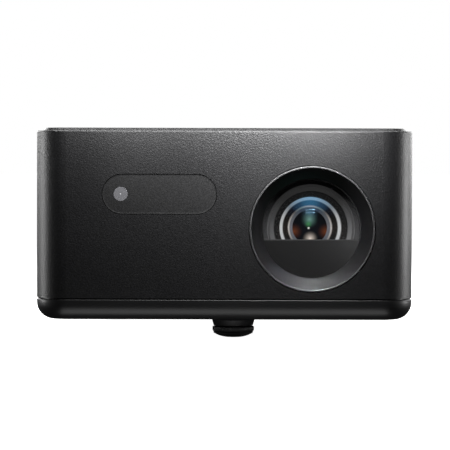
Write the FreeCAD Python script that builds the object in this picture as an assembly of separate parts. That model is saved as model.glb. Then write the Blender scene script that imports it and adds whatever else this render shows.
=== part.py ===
"""Home projector: a low rounded box with a wrap-around shell, an inset lid and a filleted base tray.

A round conical lens bezel holds a half-moon mask in front of a short-throw lens, a flush pill-shaped window
covers the sensors, and a screw foot under the front edge levels it together with two rear rubber feet.

Units are millimetres. +Z is up, the front face looks along -Y and +X is on the right of someone who stands
in front. The origin is the centre of the footprint on the table.
"""
import FreeCAD, Part
import math
import os

from FreeCAD import Placement, Rotation, Vector

# ---------------------------------------------------------------- driving dimensions
# casing
body_width = 220.0
body_depth = 208.0
corner_radius = 18.0
wall = 2.4
foot_height = 11.1              # table to the casing's underside
base_height = 12.0
base_fillet = 10.0
seam_gap = 0.7                  # shadow line between the base tray and the shell
shell_height = 97.4
rim_width = 3.2                 # shell rim left showing round the lid
rim_round = 0.8
lid_rise = 1.7
lid_chamfer = 1.5
lid_seat_depth = 1.6
lid_gap = 0.4
ledge_width = 5.0
ledge_thickness = 2.0
lip_height = 3.0
lip_thickness = 1.2
fit_gap = 0.15                  # between fixed pieces that slip together
screw_inset = 17.0              # case screws, in from each outer side
screw_shank_radius = 1.45
screw_head_radius = 2.8
screw_head_height = 1.9
screw_hole_gap = 0.25
screw_head_depth = 3.0          # inner face of the heads above the underside
screw_grip = 15.0               # shank length in the shell's pillars
screw_slot_depth = 1.1
pillar_radius = 4.0
pillar_length = 30.0
pillar_rib_thickness = 1.8
clip_from_corner = 52.0         # lid clips, in from each outer side
clip_length = 10.0
clip_thickness = 1.4
clip_hook = 0.7                 # catch under the shell's ledge
clip_hook_height = 1.6

# lens opening
lens_x = 51.0
lens_above_base = 53.2
bezel_hole_radius = 37.0
bezel_ring_gap = 0.45
bezel_lip_width = 1.0
bezel_lip_chamfer = 0.5
cone_depth = 15.0
cone_inner_radius = 28.9
bezel_depth = 22.0
bezel_tube_wall = 2.4
bezel_flange_width = 3.6
bezel_flange_thickness = 1.6
cone_wall = 1.1                 # thickness of the cone at the flange
mask_drop = 6.4                 # mask's straight edge below the lens axis
mask_thickness = 1.8
mask_rim_width = 0.9
mask_edge_chamfer = 0.5

# projection lens
barrel_front = 24.0             # depth of the barrel's front behind the casing's front face
barrel_radius = 26.5
barrel_bore = 21.6
barrel_length = 38.0
barrel_flange_width = 58.0
barrel_flange_height = 52.0
barrel_flange_thickness = 3.0
barrel_screw_x = 25.0
barrel_screw_z = 22.0
run_gap = 0.08                  # radial clearance of a running fit
cell_front = 27.4
cell_length = 30.0
cell_travel = 1.5                # each way
front_glass_radius = 18.4
front_glass_depth = 25.8        # crown of the front glass behind the front face
front_glass_outer_curve = 32.0
front_glass_inner_curve = 27.0
front_glass_thickness = 2.2
rear_glass_radius = 10.4
rear_glass_depth = 40.5
rear_glass_curve = 16.0
rear_glass_thickness = 6.0
focus_ring_depth = 36.0
focus_ring_width = 9.0
focus_turn = 30.0               # each way, in degrees
guide_pin_radius = 1.2
guide_pin_reach = 29.0          # tip, out from the lens axis
guide_pin_angles = (30.0, 150.0, 270.0)
ring_clip_thickness = 0.8
ring_clip_grip = 0.4            # how far the clip sits in the barrel
gear_module = 0.8
gear_backlash = 0.14
ring_teeth = 80
ring_teeth_present = 26
pinion_teeth = 18
pinion_length = 7.0
pinion_bearing_angle = 155.0    # from +X towards +Z
motor_radius = 7.0
motor_length = 12.0
motor_neck_radius = 5.0
motor_shaft_radius = 1.0

# sensor window
window_x = -37.7
window_above_base = 73.3
window_length = 66.9
window_height = 23.5
window_gap = 0.4
window_thickness = 2.0
window_flange = 2.0             # width behind the wall, all round
window_flange_thickness = 1.2
camera_offset = -22.5
camera_radius = 4.2
camera_seat_depth = 1.4
sensor_gap = 5.0                # window's back to the sensor board
sensor_board_thickness = 1.2
ribbon_thickness = 0.4
ribbon_width = 12.0

# side grilles
grille_front = 32.0             # from the front face to the opening
grille_length = 152.0
grille_height = 60.0
grille_above_base = 55.5        # middle of the opening
grille_corner = 8.0
grille_slot_width = 2.2
grille_slot_pitch = 4.6
grille_slot_margin = 5.0
grille_recess = 0.6
grille_flange = 1.4             # thickness behind the wall
insert_flange_width = 2.5       # of the grilles and the rear panel, behind the wall

# rear panel and its sockets
rear_panel_width = 176.0
rear_panel_height = 74.0
rear_panel_above_base = 56.0
rear_panel_corner = 8.0
rear_panel_recess = 1.4
rear_panel_flange = 1.6
louvre_count = 9
louvre_height = 2.4
louvre_pitch = 4.8
louvre_width = 150.0
board_above_base = 25.4         # underside of both circuit boards
board_thickness = 1.6
board_from_side = 24.0          # left outer side to both boards
board_width = 74.0
main_board_front = 12.0
power_board_back = 4.0
board_screw_inset = 5.0
hdmi_from_board_edge = 54.0     # sockets' middles from the boards' left edge
usb_from_board_edge = 34.0
audio_from_board_edge = 16.0
audio_bore_radius = 1.8
audio_bore_length = 12.0
inlet_x = 34.0
inlet_width = 17.0
inlet_height = 9.6
inlet_depth = 13.0
inlet_pin_radius = 1.2
inlet_pin_pitch = 8.6
reset_hole_radius = 0.8

# feet
foot_x = 5.4
foot_from_front = 25.0
foot_radius = 12.0
boss_top_radius = 12.6
boss_bottom_radius = 11.6
boss_drop = 4.0
foot_line_gap = 0.5             # shadow line between the boss and the knob
knob_height = 3.3
knob_ribs = 40
knob_floor = 0.6                # between the pad's spigot and the stud
pad_rim = 0.5
stud_radius = 3.0
stud_length = 15.0
insert_radius = 5.0
insert_length = 12.0
pad_spigot_radius = 4.0
pad_spigot_height = 1.6
rear_foot_radius = 8.0
rear_foot_x = 72.0
rear_foot_from_back = 16.0
rear_foot_recess = 0.8
rear_foot_flat = 3.6            # radius of the flat that rests on the table
rear_foot_dome = 1.5
tripod_bore_radius = 2.65       # minor bore of a quarter-inch camera thread
tripod_insert_radius = 5.5
tripod_depth = 9.0

# fans
fan_size = 60.0
fan_thickness = 15.0
fan_bore_radius = 28.5
fan_tip_gap = 0.7
fan_hub_radius = 11.5
fan_blades = 9
fan_blade_pitch = 38.0
left_fan_offset = 6.0           # from the grille's middle, towards the back
right_fan_offset = 48.0
fan_above_base = 55.5
fan_peg_radius = 1.9
fan_peg_gap = 0.2
fan_corner = 4.0
fan_plate = 2.0                 # thickness of the motor plate and its struts
fan_pin_radius = 1.5
fan_pin_length = 8.0
filter_thickness = 1.6
speaker_from_grille_end = 22.0
speaker_radius = 20.0
fin_count = 15
fin_pitch = 3.4
fin_thickness = 0.8
fin_depth = 24.0
heat_pipe_radius = 3.0

# power key
key_y = 76.0
key_radius = 7.0
key_gap = 0.35
key_proud = 0.5
key_travel = 0.8
key_guide_drop = 3.0            # guide's end below the lid's seat
key_flange = 1.2
key_board_drop = 7.0

# optical engine
engine_width = 80.0
engine_depth = 64.0
engine_height = 54.0
engine_wall = 2.5
engine_above_base = 25.6
engine_lens_offset = 11.0       # lens axis from the housing's middle, along X
engine_cover_thickness = 2.0
wheel_radius = 13.0
prism_size = 22.0
prism_air_gap = 0.3
laser_length = 34.0
laser_height = 34.0
laser_depth = 9.0
cold_plate_thickness = 3.2
dmd_board_thickness = 1.6
dmd_seat = 1.4                  # engine's back wall to the imaging board
dmd_sink_fins = 7
dmd_sink_fin_thickness = 1.2
dmd_sink_gap = 2.2              # to the fin stack

# ---------------------------------------------------------------- places worked out from them
front_y = -body_depth / 2
back_y = body_depth / 2
side_x = body_width / 2
base_z = foot_height
floor_z = base_z + wall
seam_z = base_z + base_height
shell_z = seam_z + seam_gap
lip_top = seam_z + lip_height
rim_z = shell_z + shell_height
lid_seat_z = rim_z - lid_seat_depth
lid_top_z = rim_z + lid_rise
lens_z = base_z + lens_above_base
window_z = base_z + window_above_base
board_z = base_z + board_above_base
board_top_z = board_z + board_thickness
board_left = -side_x + board_from_side
board_right = board_left + board_width
hdmi_x = board_left + hdmi_from_board_edge
usb_x = board_left + usb_from_board_edge
audio_x = board_left + audio_from_board_edge
foot_y = front_y + foot_from_front
rear_foot_y = back_y - rear_foot_from_back
rear_panel_z = base_z + rear_panel_above_base
rear_face_y = back_y - rear_panel_recess
rear_panel_back = back_y - wall - rear_panel_flange
grille_z = base_z + grille_above_base
grille_y = front_y + grille_front + grille_length / 2
fan_z = base_z + fan_above_base
left_fan_y = grille_y + left_fan_offset
right_fan_y = grille_y + right_fan_offset
engine_z = base_z + engine_above_base
engine_front_y = front_y + barrel_front + barrel_length
engine_x = lens_x - engine_lens_offset
ring_pitch_radius = gear_module * ring_teeth / 2
pinion_pitch_radius = gear_module * pinion_teeth / 2
pinion_distance = ring_pitch_radius + pinion_pitch_radius
grille_back = side_x - wall - grille_flange
main_board_span = ((board_left, board_right), (main_board_front, rear_face_y - 4.0))
power_board_span = ((board_left, board_right), (front_y + 22.0, power_board_back))
screw_places = [(sx * (side_x - screw_inset), sy * (back_y - screw_inset))
                for sx in (-1, 1) for sy in (-1, 1)]

LENS_AXIS = (Vector(lens_x, front_y, lens_z), Vector(0, 1, 0))
UP = Vector(0, 0, 1)


# ---------------------------------------------------------------- building blocks
def block(x, y, z):
    """A box from three (low, high) pairs."""
    return Part.makeBox(x[1] - x[0], y[1] - y[0], z[1] - z[0], Vector(x[0], y[0], z[0]))


def rod(radius, low, high, x=0.0, y=0.0):
    """An upright cylinder from height low to height high."""
    return Part.makeCylinder(radius, high - low, Vector(x, y, low))


def ring(outer, inner, low, high, x=0.0, y=0.0):
    """An upright tube."""
    return rod(outer, low, high, x, y).cut(rod(inner, low, high, x, y))


def rounded_plate(width, depth, radius, low, high, x=0.0, y=0.0):
    """A rounded rectangle in plan, from height low to height high."""
    w, d = width / 2, depth / 2
    r = min(radius, w, d)
    k = r * (1 - math.sqrt(0.5))
    edges = []
    corners = [(1, 1), (-1, 1), (-1, -1), (1, -1)]
    for i, (sx, sy) in enumerate(corners):
        on_side, on_end = Vector(sx * w, sy * (d - r), 0), Vector(sx * (w - r), sy * d, 0)
        start, end = (on_side, on_end) if i % 2 == 0 else (on_end, on_side)
        edges.append(Part.Arc(start, Vector(sx * (w - k), sy * (d - k), 0), end).toShape())
        nx, ny = corners[(i + 1) % 4]
        next_start = Vector(nx * (w - r), ny * d, 0) if i % 2 == 0 else Vector(nx * w, ny * (d - r), 0)
        if (next_start - end).Length > 1e-6:
            edges.append(Part.LineSegment(end, next_start).toShape())
    face = Part.Face(Part.Wire(edges))
    face.translate(Vector(x, y, low))
    return face.extrude(Vector(0, 0, high - low))


def turned(profile):
    """A solid of revolution about Z from (radius, height) points."""
    points = [Vector(r, 0, h) for r, h in profile]
    face = Part.Face(Part.makePolygon(points + points[:1]))
    return face.revolve(Vector(0, 0, 0), UP, 360)


def placed(shape, position, direction, spin=0.0):
    """A copy whose own Z runs along direction from position, first spun about its own Z by spin degrees."""
    copy = shape.copy()
    copy.rotate(Vector(0, 0, 0), UP, spin)
    copy.Placement = Placement(position, Rotation(UP, direction)).multiply(copy.Placement)
    return copy


def along_y(shape, x, z):
    """Turns an upright shape so that its heights are places along Y, at x and z."""
    return placed(shape, Vector(x, 0, z), Vector(0, 1, 0))


def on_lens_axis(shape):
    """Places a shape whose heights are depths behind the front face onto the lens axis."""
    return placed(shape, *LENS_AXIS)


def wall_plate(width, height, radius, near, far, x, z, axis="y"):
    """A rounded plate that stands in a wall: across the front or back (axis y) or a side (axis x)."""
    if axis == "y":
        plate = rounded_plate(width, height, radius, near, far)
        plate.rotate(Vector(0, 0, 0), Vector(1, 0, 0), 90)      # (x, y, z) becomes (x, -z, y)
        plate = plate.mirror(Vector(0, 0, 0), Vector(0, 1, 0))
        plate.translate(Vector(x, 0, z))
        return plate
    plate = rounded_plate(height, width, radius, near, far)
    plate.rotate(Vector(0, 0, 0), Vector(0, 1, 0), 90)          # (x, y, z) becomes (z, y, -x)
    plate.translate(Vector(0, x, z))
    return plate


def fused(shapes):
    """One solid from touching or overlapping shapes."""
    whole = shapes[0].multiFuse(list(shapes[1:])) if len(shapes) > 1 else shapes[0]
    return whole.removeSplitter()


def less(shape, cutters):
    """shape with every cutter taken away."""
    return shape.cut(Part.makeCompound(cutters))


def edges_at(shape, test):
    """Edges of shape whose ends and middle all pass a test."""
    found = []
    for edge in shape.Edges:
        middle = edge.valueAt((edge.FirstParameter + edge.LastParameter) / 2)
        if all(test(p) for p in [middle] + [v.Point for v in edge.Vertexes]):
            found.append(edge)
    return found


def bent_rod(points, bend, radius):
    """A round rod through points, with every inner corner an arc of radius bend."""
    path, start = [], points[0]
    for before, corner, after in zip(points, points[1:], points[2:]):
        back, on = (before - corner).normalize(), (after - corner).normalize()
        half = back.getAngle(on) / 2
        reach = bend / math.tan(half)
        first, last = corner + back * reach, corner + on * reach
        to_centre = (back + on).normalize()
        middle = corner + to_centre * (bend / math.sin(half) - bend)
        path.append(Part.LineSegment(start, first).toShape())
        path.append(Part.Arc(first, middle, last).toShape())
        start = last
    path.append(Part.LineSegment(start, points[-1]).toShape())
    wire = Part.Wire(path)
    section = Part.Wire([Part.makeCircle(radius, points[0], points[1] - points[0])])
    return wire.makePipeShell([section], True, False)


# ---------------------------------------------------------------- gears
def involute(angle):
    return math.tan(angle) - angle


def gear_tooth(teeth, thickness, root_radius):
    """One involute tooth that points along +X, from just inside the root to the tip."""
    pitch_radius = gear_module * teeth / 2
    pressure = math.radians(20)
    base_radius = pitch_radius * math.cos(pressure)
    tip_radius = pitch_radius + gear_module
    half_at_pitch = math.pi / (2 * teeth) - gear_backlash / (2 * pitch_radius)
    flank = [(root_radius - 0.4, None)]
    steps = 5
    low = max(root_radius, base_radius)
    for i in range(steps + 1):
        r = low + (tip_radius - low) * i / steps
        roll = involute(math.acos(min(1.0, base_radius / r)))
        flank.append((r, half_at_pitch + involute(pressure) - roll))
    foot_angle = flank[1][1]
    flank = [(r, foot_angle if a is None else a) for r, a in flank]
    upper = [Vector(r * math.cos(a), r * math.sin(a), 0) for r, a in flank]
    lower = [Vector(p.x, -p.y, 0) for p in reversed(upper)]
    face = Part.Face(Part.makePolygon(upper + lower + upper[:1]))
    return face.extrude(Vector(0, 0, thickness))


def toothed(blank, teeth, present, first_angle, thickness, root_radius, base):
    """blank with `present` teeth, the first at first_angle degrees."""
    tooth = gear_tooth(teeth, thickness, root_radius)
    tooth.translate(Vector(0, 0, base))
    added = []
    for i in range(present):
        copy = tooth.copy()
        copy.rotate(Vector(0, 0, 0), UP, first_angle + i * 360.0 / teeth)
        added.append(copy)
    return fused([blank] + added)


# ---------------------------------------------------------------- casing
def casing_prism(inset, low, high):
    """The casing's rounded outline, drawn in by inset."""
    return rounded_plate(body_width - 2 * inset, body_depth - 2 * inset, corner_radius - inset, low, high)


def main_shell():
    """Wrap-around wall with the lid's ledge, four screw pillars and the openings of its inserts."""
    outer = casing_prism(0, shell_z, rim_z)
    outer = outer.makeFillet(rim_round, edges_at(outer, lambda p: abs(p.z - rim_z) < 1e-4))
    under_ledge = lid_seat_z - ledge_thickness
    shell = less(outer, [
        casing_prism(wall, shell_z, under_ledge),
        casing_prism(rim_width, lid_seat_z, rim_z),
        casing_prism(rim_width + ledge_width, under_ledge, rim_z),
    ])
    pillars = []
    for x, y in screw_places:
        corner = Vector(math.copysign(side_x - wall, x), math.copysign(back_y - wall, y), 0)
        half = pillar_rib_thickness / 2
        reach = math.hypot(corner.x - x, corner.y - y)
        rib = block((0, reach), (-half, half), (lip_top + 0.4, shell_z + pillar_length - 6))
        rib.rotate(Vector(0, 0, 0), UP, math.degrees(math.atan2(corner.y - y, corner.x - x)))
        rib.translate(Vector(x, y, 0))
        pillars.append(rod(pillar_radius, shell_z, shell_z + pillar_length, x, y))
        pillars.append(rib.common(casing_prism(wall / 2, shell_z, rim_z)))
    shell = fused([shell] + pillars)
    reach = wall + 1
    cuts = [
        on_lens_axis(rod(bezel_hole_radius, -1, reach)),
        wall_plate(window_length, window_height, window_height / 2, front_y - 1, front_y + reach,
                   window_x, window_z),
        wall_plate(rear_panel_width, rear_panel_height, rear_panel_corner, back_y - reach, back_y + 1,
                   0, rear_panel_z),
    ]
    for side in (-1, 1):
        near, far = sorted((side * (side_x - reach), side * (side_x + 1)))
        cuts.append(wall_plate(grille_length, grille_height, grille_corner, near, far,
                               grille_y, grille_z, "x"))
    cuts += [rod(screw_shank_radius, shell_z, shell_z + screw_grip + 1, x, y) for x, y in screw_places]
    return less(shell, cuts)


def top_lid():
    """Chamfered cover plate with clips that catch under the shell's ledge, and the key's hole and guide."""
    inset = rim_width + lid_gap
    lid = casing_prism(inset, lid_seat_z, lid_top_z)
    lid = lid.makeChamfer(lid_chamfer, edges_at(lid, lambda p: abs(p.z - lid_top_z) < 1e-4))
    clips = [lid_clip(out, along) for out in (-1, 1) for along in (-1, 1)]
    clips += [lid_clip(out, along, True) for out in (-1, 1) for along in (-1, 1)]
    guide = rod(key_radius + key_gap + 1.4, lid_seat_z - key_guide_drop, lid_seat_z, 0, key_y)
    posts = [rod(2.2, lid_seat_z - key_board_drop, lid_seat_z, x, key_y) for x in (-13, 13)]
    lid = fused([lid] + clips + [guide] + posts)
    return less(lid, [rod(key_radius + key_gap, lid_seat_z - 4, lid_top_z + 1, 0, key_y)])


def lid_clip(out, along, on_side=False):
    """Clip on the front or back edge, or on a side: out picks the edge and along the clip's end of it."""
    edge, across = (side_x, back_y) if on_side else (back_y, side_x)
    face = edge - rim_width - ledge_width - fit_gap
    middle = along * (across - clip_from_corner)
    low = lid_seat_z - ledge_thickness - clip_hook_height
    half = clip_length / 2
    stem = block((middle - half, middle + half), (face - clip_thickness, face), (low, lid_seat_z))
    hook = block((middle - half, middle + half), (face - clip_thickness, face + fit_gap + clip_hook),
                 (low, lid_seat_z - ledge_thickness - 0.1))
    clip = stem.fuse(hook)
    clip.rotate(Vector(0, 0, 0), UP, (0 if out > 0 else 180) - (90 if on_side else 0))
    return clip


def base_tray():
    """Filleted tray with the locating lip, screw and board posts, the foot's boss and the inserts' seats."""
    def filleted(prism, radius, low):
        return prism.makeFillet(radius, edges_at(prism, lambda p: abs(p.z - low) < 1e-4))

    outer = filleted(casing_prism(0, base_z, seam_z), base_fillet, base_z)
    inner = filleted(casing_prism(wall, floor_z, seam_z + 1), base_fillet - wall, floor_z)
    lip_root = casing_prism(wall / 2, seam_z - lip_height, seam_z)
    lip_out = casing_prism(wall + fit_gap, seam_z - lip_height, lip_top)
    lip_in = casing_prism(wall + fit_gap + lip_thickness, seam_z - lip_height, lip_top)
    tray = fused([outer.cut(inner), lip_root.cut(lip_in), lip_out.cut(lip_in)])
    tray = tray.makeChamfer(0.4, edges_at(tray, on_outer_seam))
    root = floor_z - 0.5
    insert_low, insert_top = base_z - boss_drop, base_z - boss_drop + insert_length
    posts = [rod(pillar_radius, root, shell_z, x, y) for x, y in screw_places]
    posts += [rod(3.2, root, board_z, x, y) for x, y in board_screw_places()]
    posts += [rod(4.0, root, engine_z, x, y) for x, y in engine_screw_places()]
    posts.append(turned_boss(foot_x, foot_y))
    posts.append(rod(insert_radius + wall, root, insert_top + 2, foot_x, foot_y))
    posts.append(rod(tripod_insert_radius + wall, root, base_z + tripod_depth + 1.5))
    tray = fused([tray] + posts)
    cuts = [rod(insert_radius, insert_low - 1, insert_top, foot_x, foot_y),
            rod(stud_radius + 0.6, base_z, insert_top + 3, foot_x, foot_y),
            rod(tripod_insert_radius, base_z - 1, base_z + tripod_depth)]
    for x, y in screw_places:
        cuts.append(rod(screw_shank_radius + screw_hole_gap, base_z - 1, shell_z + 1, x, y))
        cuts.append(rod(screw_head_radius + screw_hole_gap, base_z - 1, base_z + screw_head_depth, x, y))
    cuts += [rod(1.2, board_z - 8, board_z, x, y) for x, y in board_screw_places()]
    cuts += [rod(1.2, engine_z - 10, engine_z, x, y) for x, y in engine_screw_places()]
    for x in (-rear_foot_x, rear_foot_x):
        cuts.append(rod(rear_foot_radius + fit_gap, base_z - 1, base_z + rear_foot_recess, x, rear_foot_y))
    cuts += underside_vents()
    return less(tray, cuts)


def on_outer_seam(p):
    """True on the tray's outer top edge."""
    on_x = abs(abs(p.x) - side_x) < 1e-3
    on_y = abs(abs(p.y) - back_y) < 1e-3
    corner = math.hypot(abs(p.x) - side_x + corner_radius, abs(p.y) - back_y + corner_radius)
    return abs(p.z - seam_z) < 1e-4 and (on_x or on_y or abs(corner - corner_radius) < 1e-3)


def turned_boss(x, y):
    """Conical boss that carries the screw foot, with a small blend into the underside."""
    low = base_z - boss_drop
    blend = 0.8
    boss = turned([(0, low), (boss_bottom_radius, low), (boss_top_radius, base_z - blend),
                   (boss_top_radius + blend, base_z), (boss_top_radius + blend, base_z + 1), (0, base_z + 1)])
    boss.translate(Vector(x, y, 0))
    return boss


def underside_vents():
    """Intake slots through the tray's floor, in two rows under the circuit boards."""
    slots = []
    first, pitch, width, length = board_left + 12.0, 5.0, 2.4, 30.0
    for row_y in (-length, length):
        for i in range(12):
            slots.append(rounded_plate(width, length, width / 2, base_z - 1, floor_z + 1,
                                       first + i * pitch, row_y))
    return slots


def wall_insert(width, height, radius, outer, flange, x, z, axis):
    """A plate in a wall opening, with its face at outer and a wider flange behind the wall."""
    plate = wall_plate(width - 2 * fit_gap, height - 2 * fit_gap, radius,
                       *sorted((outer, flange[0])), x, z, axis)
    lap = insert_flange_width
    back = wall_plate(width + 2 * lap, height + 2 * lap, radius + lap, *sorted(flange), x, z, axis)
    return fused([plate, back])


def side_grille(side):
    """Slotted insert in a side wall: the speaker fires through its front end, the fan through the rest."""
    outer = side * (side_x - grille_recess)
    flange = (side * (side_x - wall), side * grille_back)
    insert = wall_insert(grille_length, grille_height, grille_corner, outer, flange,
                         grille_y, grille_z, "x")
    seat, inward = fan_seat(side)
    peg_root = seat - inward * (abs(seat.x - flange[0]))
    reach = (seat - peg_root).Length + fan_thickness - 1
    pegs = [rod(fan_peg_radius, 0, reach, x, y) for x, y in fan_corners()]
    insert = fused([insert] + [placed(peg, peg_root, inward) for peg in pegs])
    count = int((grille_length - 2 * grille_slot_margin) // grille_slot_pitch)
    first = grille_y - (count - 1) * grille_slot_pitch / 2
    height = grille_height - 2 * grille_slot_margin
    near, far = sorted((side * (side_x + 1), side * grille_back))
    slots = [wall_plate(grille_slot_width, height, grille_slot_width / 2, near, far,
                        first + i * grille_slot_pitch, grille_z, "x") for i in range(count)]
    return less(insert, slots)


def louvre_heights():
    """Middles of the rear panel's exhaust louvres, from the top down."""
    top = rear_panel_z + rear_panel_height / 2 - 9.0
    return [top - i * louvre_pitch for i in range(louvre_count)]


def rear_panel():
    """Recessed back panel with exhaust louvres above and the sockets' openings below."""
    flange = (back_y - wall, rear_panel_back)
    panel = wall_insert(rear_panel_width, rear_panel_height, rear_panel_corner, rear_face_y, flange,
                        0, rear_panel_z, "y")
    near, far = back_y - wall - 3, back_y + 1
    cuts = [wall_plate(louvre_width, louvre_height, louvre_height / 2, near, far, 0, z)
            for z in louvre_heights()]
    socket_gap = 0.2
    for x, width, height, low in socket_outlines():
        cuts.append(block((x - width / 2 - socket_gap, x + width / 2 + socket_gap), (near, far),
                          (low - socket_gap, low + height + socket_gap)))
    cuts.append(along_y(rod(audio_nose_radius() + socket_gap, near, far), audio_x, audio_z()))
    cuts.append(along_y(rod(reset_hole_radius, near, far), audio_x - 14, audio_z()))
    return less(panel, cuts)


# ---------------------------------------------------------------- sockets
def socket_outlines():
    """(x, width, height, underside) of the rectangular sockets that show in the rear panel."""
    inlet_z = board_top_z - 0.6
    return [(hdmi_x, 15.0, 5.8, board_top_z), (usb_x, 14.4, 7.0, board_top_z),
            (inlet_x, inlet_width + 3.0, inlet_height + 3.0, inlet_z)]


def audio_nose_radius():
    return audio_bore_radius + 1.5


def audio_z():
    return board_top_z + audio_nose_radius()


def hdmi_port():
    """Metal shell round a contact tongue."""
    x, width, height, low = socket_outlines()[0]
    mouth = (rear_face_y - 12.0, rear_face_y)
    shell = block((x - width / 2, x + width / 2), mouth, (low, low + height))
    shell = lower_corners_cut(shell, 1.4)
    cavity = lower_corners_cut(socket_cavity(socket_outlines()[0], mouth, 0.5), 1.3)
    tongue = block((x - 5.6, x + 5.6), (mouth[0] + 1.0, mouth[1] - 1.6), (low + 2.6, low + 3.5))
    return fused([shell.cut(cavity), tongue])


def lower_corners_cut(shape, size):
    """A block along Y with its two lower corners chamfered."""
    box = shape.BoundBox

    def on_corner(p):
        return abs(p.z - box.ZMin) < 1e-4 and min(abs(p.x - box.XMin), abs(p.x - box.XMax)) < 1e-4

    return shape.makeChamfer(size, edges_at(shape, on_corner))


def socket_cavity(outline, mouth, sheet):
    """The space inside a socket's sheet-metal shell, open at the mouth."""
    x, width, height, low = outline
    half = width / 2 - sheet
    return block((x - half, x + half), (mouth[0] + 1.5, mouth[1] + 1), (low + sheet, low + height - sheet))


def usb_port():
    """Metal shell round a contact tongue."""
    x, width, height, low = socket_outlines()[1]
    mouth = (rear_face_y - 14.0, rear_face_y)
    shell = block((x - width / 2, x + width / 2), mouth, (low, low + height))
    cavity = socket_cavity(socket_outlines()[1], mouth, 0.6)
    tongue = block((x - 5.6, x + 5.6), (mouth[0] + 1.0, mouth[1] - 1.2), (low + 3.9, low + 5.5))
    return fused([shell.cut(cavity), tongue])


def audio_jack():
    """Round nose with the plug's bore, on a square body that sits on the board."""
    z, nose = audio_z(), audio_nose_radius()
    body_front = rear_panel_back - 0.4
    body = block((audio_x - 6, audio_x + 6), (rear_face_y - audio_bore_length - 2, body_front),
                 (board_top_z, board_top_z + 2 * nose))
    front = along_y(rod(nose, body_front - 1, rear_face_y), audio_x, z)
    bore = along_y(rod(audio_bore_radius, rear_face_y - audio_bore_length, rear_face_y + 1), audio_x, z)
    return fused([body, front]).cut(bore)


def mains_inlet():
    """Two-pin mains inlet: a round-ended recess in a moulded block, with its two pins."""
    x, width, height, low = socket_outlines()[2]
    z = low + height / 2
    floor = rear_face_y - inlet_depth
    body = block((x - width / 2, x + width / 2), (floor - 4, rear_face_y), (low, low + height))
    flange = block((x - width / 2 - 4, x + width / 2 + 4), (rear_panel_back - 1.6, rear_panel_back),
                   (low - 1.5, low + height + 1.5))
    body = body.fuse(flange)
    recess = wall_plate(inlet_width, inlet_height, inlet_height / 2, floor, rear_face_y + 1, x, z)
    pins = [along_y(rod(inlet_pin_radius, floor - 1, rear_face_y - 2), x + side * inlet_pin_pitch / 2, z)
            for side in (-1, 1)]
    return fused([body.cut(recess)] + pins)


# ---------------------------------------------------------------- lens opening
def lens_bezel():
    """Ring and cone round the lens, with a flange behind the shell's wall and a seat for the mask."""
    rim = bezel_hole_radius - bezel_ring_gap
    mouth = rim - bezel_lip_width
    tube = cone_inner_radius + bezel_tube_wall
    flange = bezel_hole_radius + bezel_flange_width
    flange_back = wall + bezel_flange_thickness
    seat_end = cone_depth + mask_thickness

    def cone_at(depth):
        return mouth + (cone_inner_radius - mouth) * (depth - 0.5) / (cone_depth - 0.5)

    bezel = on_lens_axis(turned([
        (rim - bezel_lip_chamfer, 0.1), (rim, 0.1 + bezel_lip_chamfer), (rim, wall), (flange, wall),
        (flange, flange_back), (cone_at(flange_back) + cone_wall, flange_back),
        (tube + 1.2, cone_depth - 3), (tube, bezel_depth), (cone_inner_radius - 0.5, bezel_depth),
        (cone_inner_radius - 0.5, seat_end), (cone_inner_radius + mask_rim_width, seat_end),
        (cone_inner_radius + mask_rim_width, cone_depth), (cone_inner_radius, cone_depth), (mouth, 0.5),
        (mouth + 0.4, 0.1),
    ]))
    below_lip = block((0, side_x), (front_y + wall, front_y + bezel_depth), (base_z, lip_top + fit_gap))
    return bezel.cut(below_lip)


def lens_mask():
    """Half-moon plate that hides the lens below its straight edge, held by a thin round frame."""
    radius = cone_inner_radius + mask_rim_width - fit_gap / 2
    low, high = cone_depth, cone_depth + mask_thickness - fit_gap / 2
    frame = ring(radius, cone_inner_radius - 0.5, low, high)
    plate = rod(radius, low, high).cut(block((-radius, radius), (-mask_drop, radius), (low - 1, high + 1)))
    on_edge = edges_at(plate, lambda p: abs(p.y + mask_drop) < 1e-4 and abs(p.z - low) < 1e-4)
    plate = plate.makeChamfer(mask_edge_chamfer, on_edge)
    return on_lens_axis_upright(fused([frame, plate]))


def on_lens_axis_upright(shape):
    """As on_lens_axis, for a shape whose own +Y has to end up as +Z."""
    copy = shape.copy()
    copy.rotate(Vector(0, 0, 0), Vector(1, 0, 0), 90)           # (x, y, z) becomes (x, -z, y)
    copy = copy.mirror(Vector(0, 0, 0), Vector(0, 1, 0))
    copy.translate(LENS_AXIS[0])
    return copy


def lens_seal():
    """Foam ring between the bezel and the barrel's front."""
    return on_lens_axis(ring(barrel_radius + 2.6, barrel_radius - 0.6, bezel_depth, barrel_front))


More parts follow.
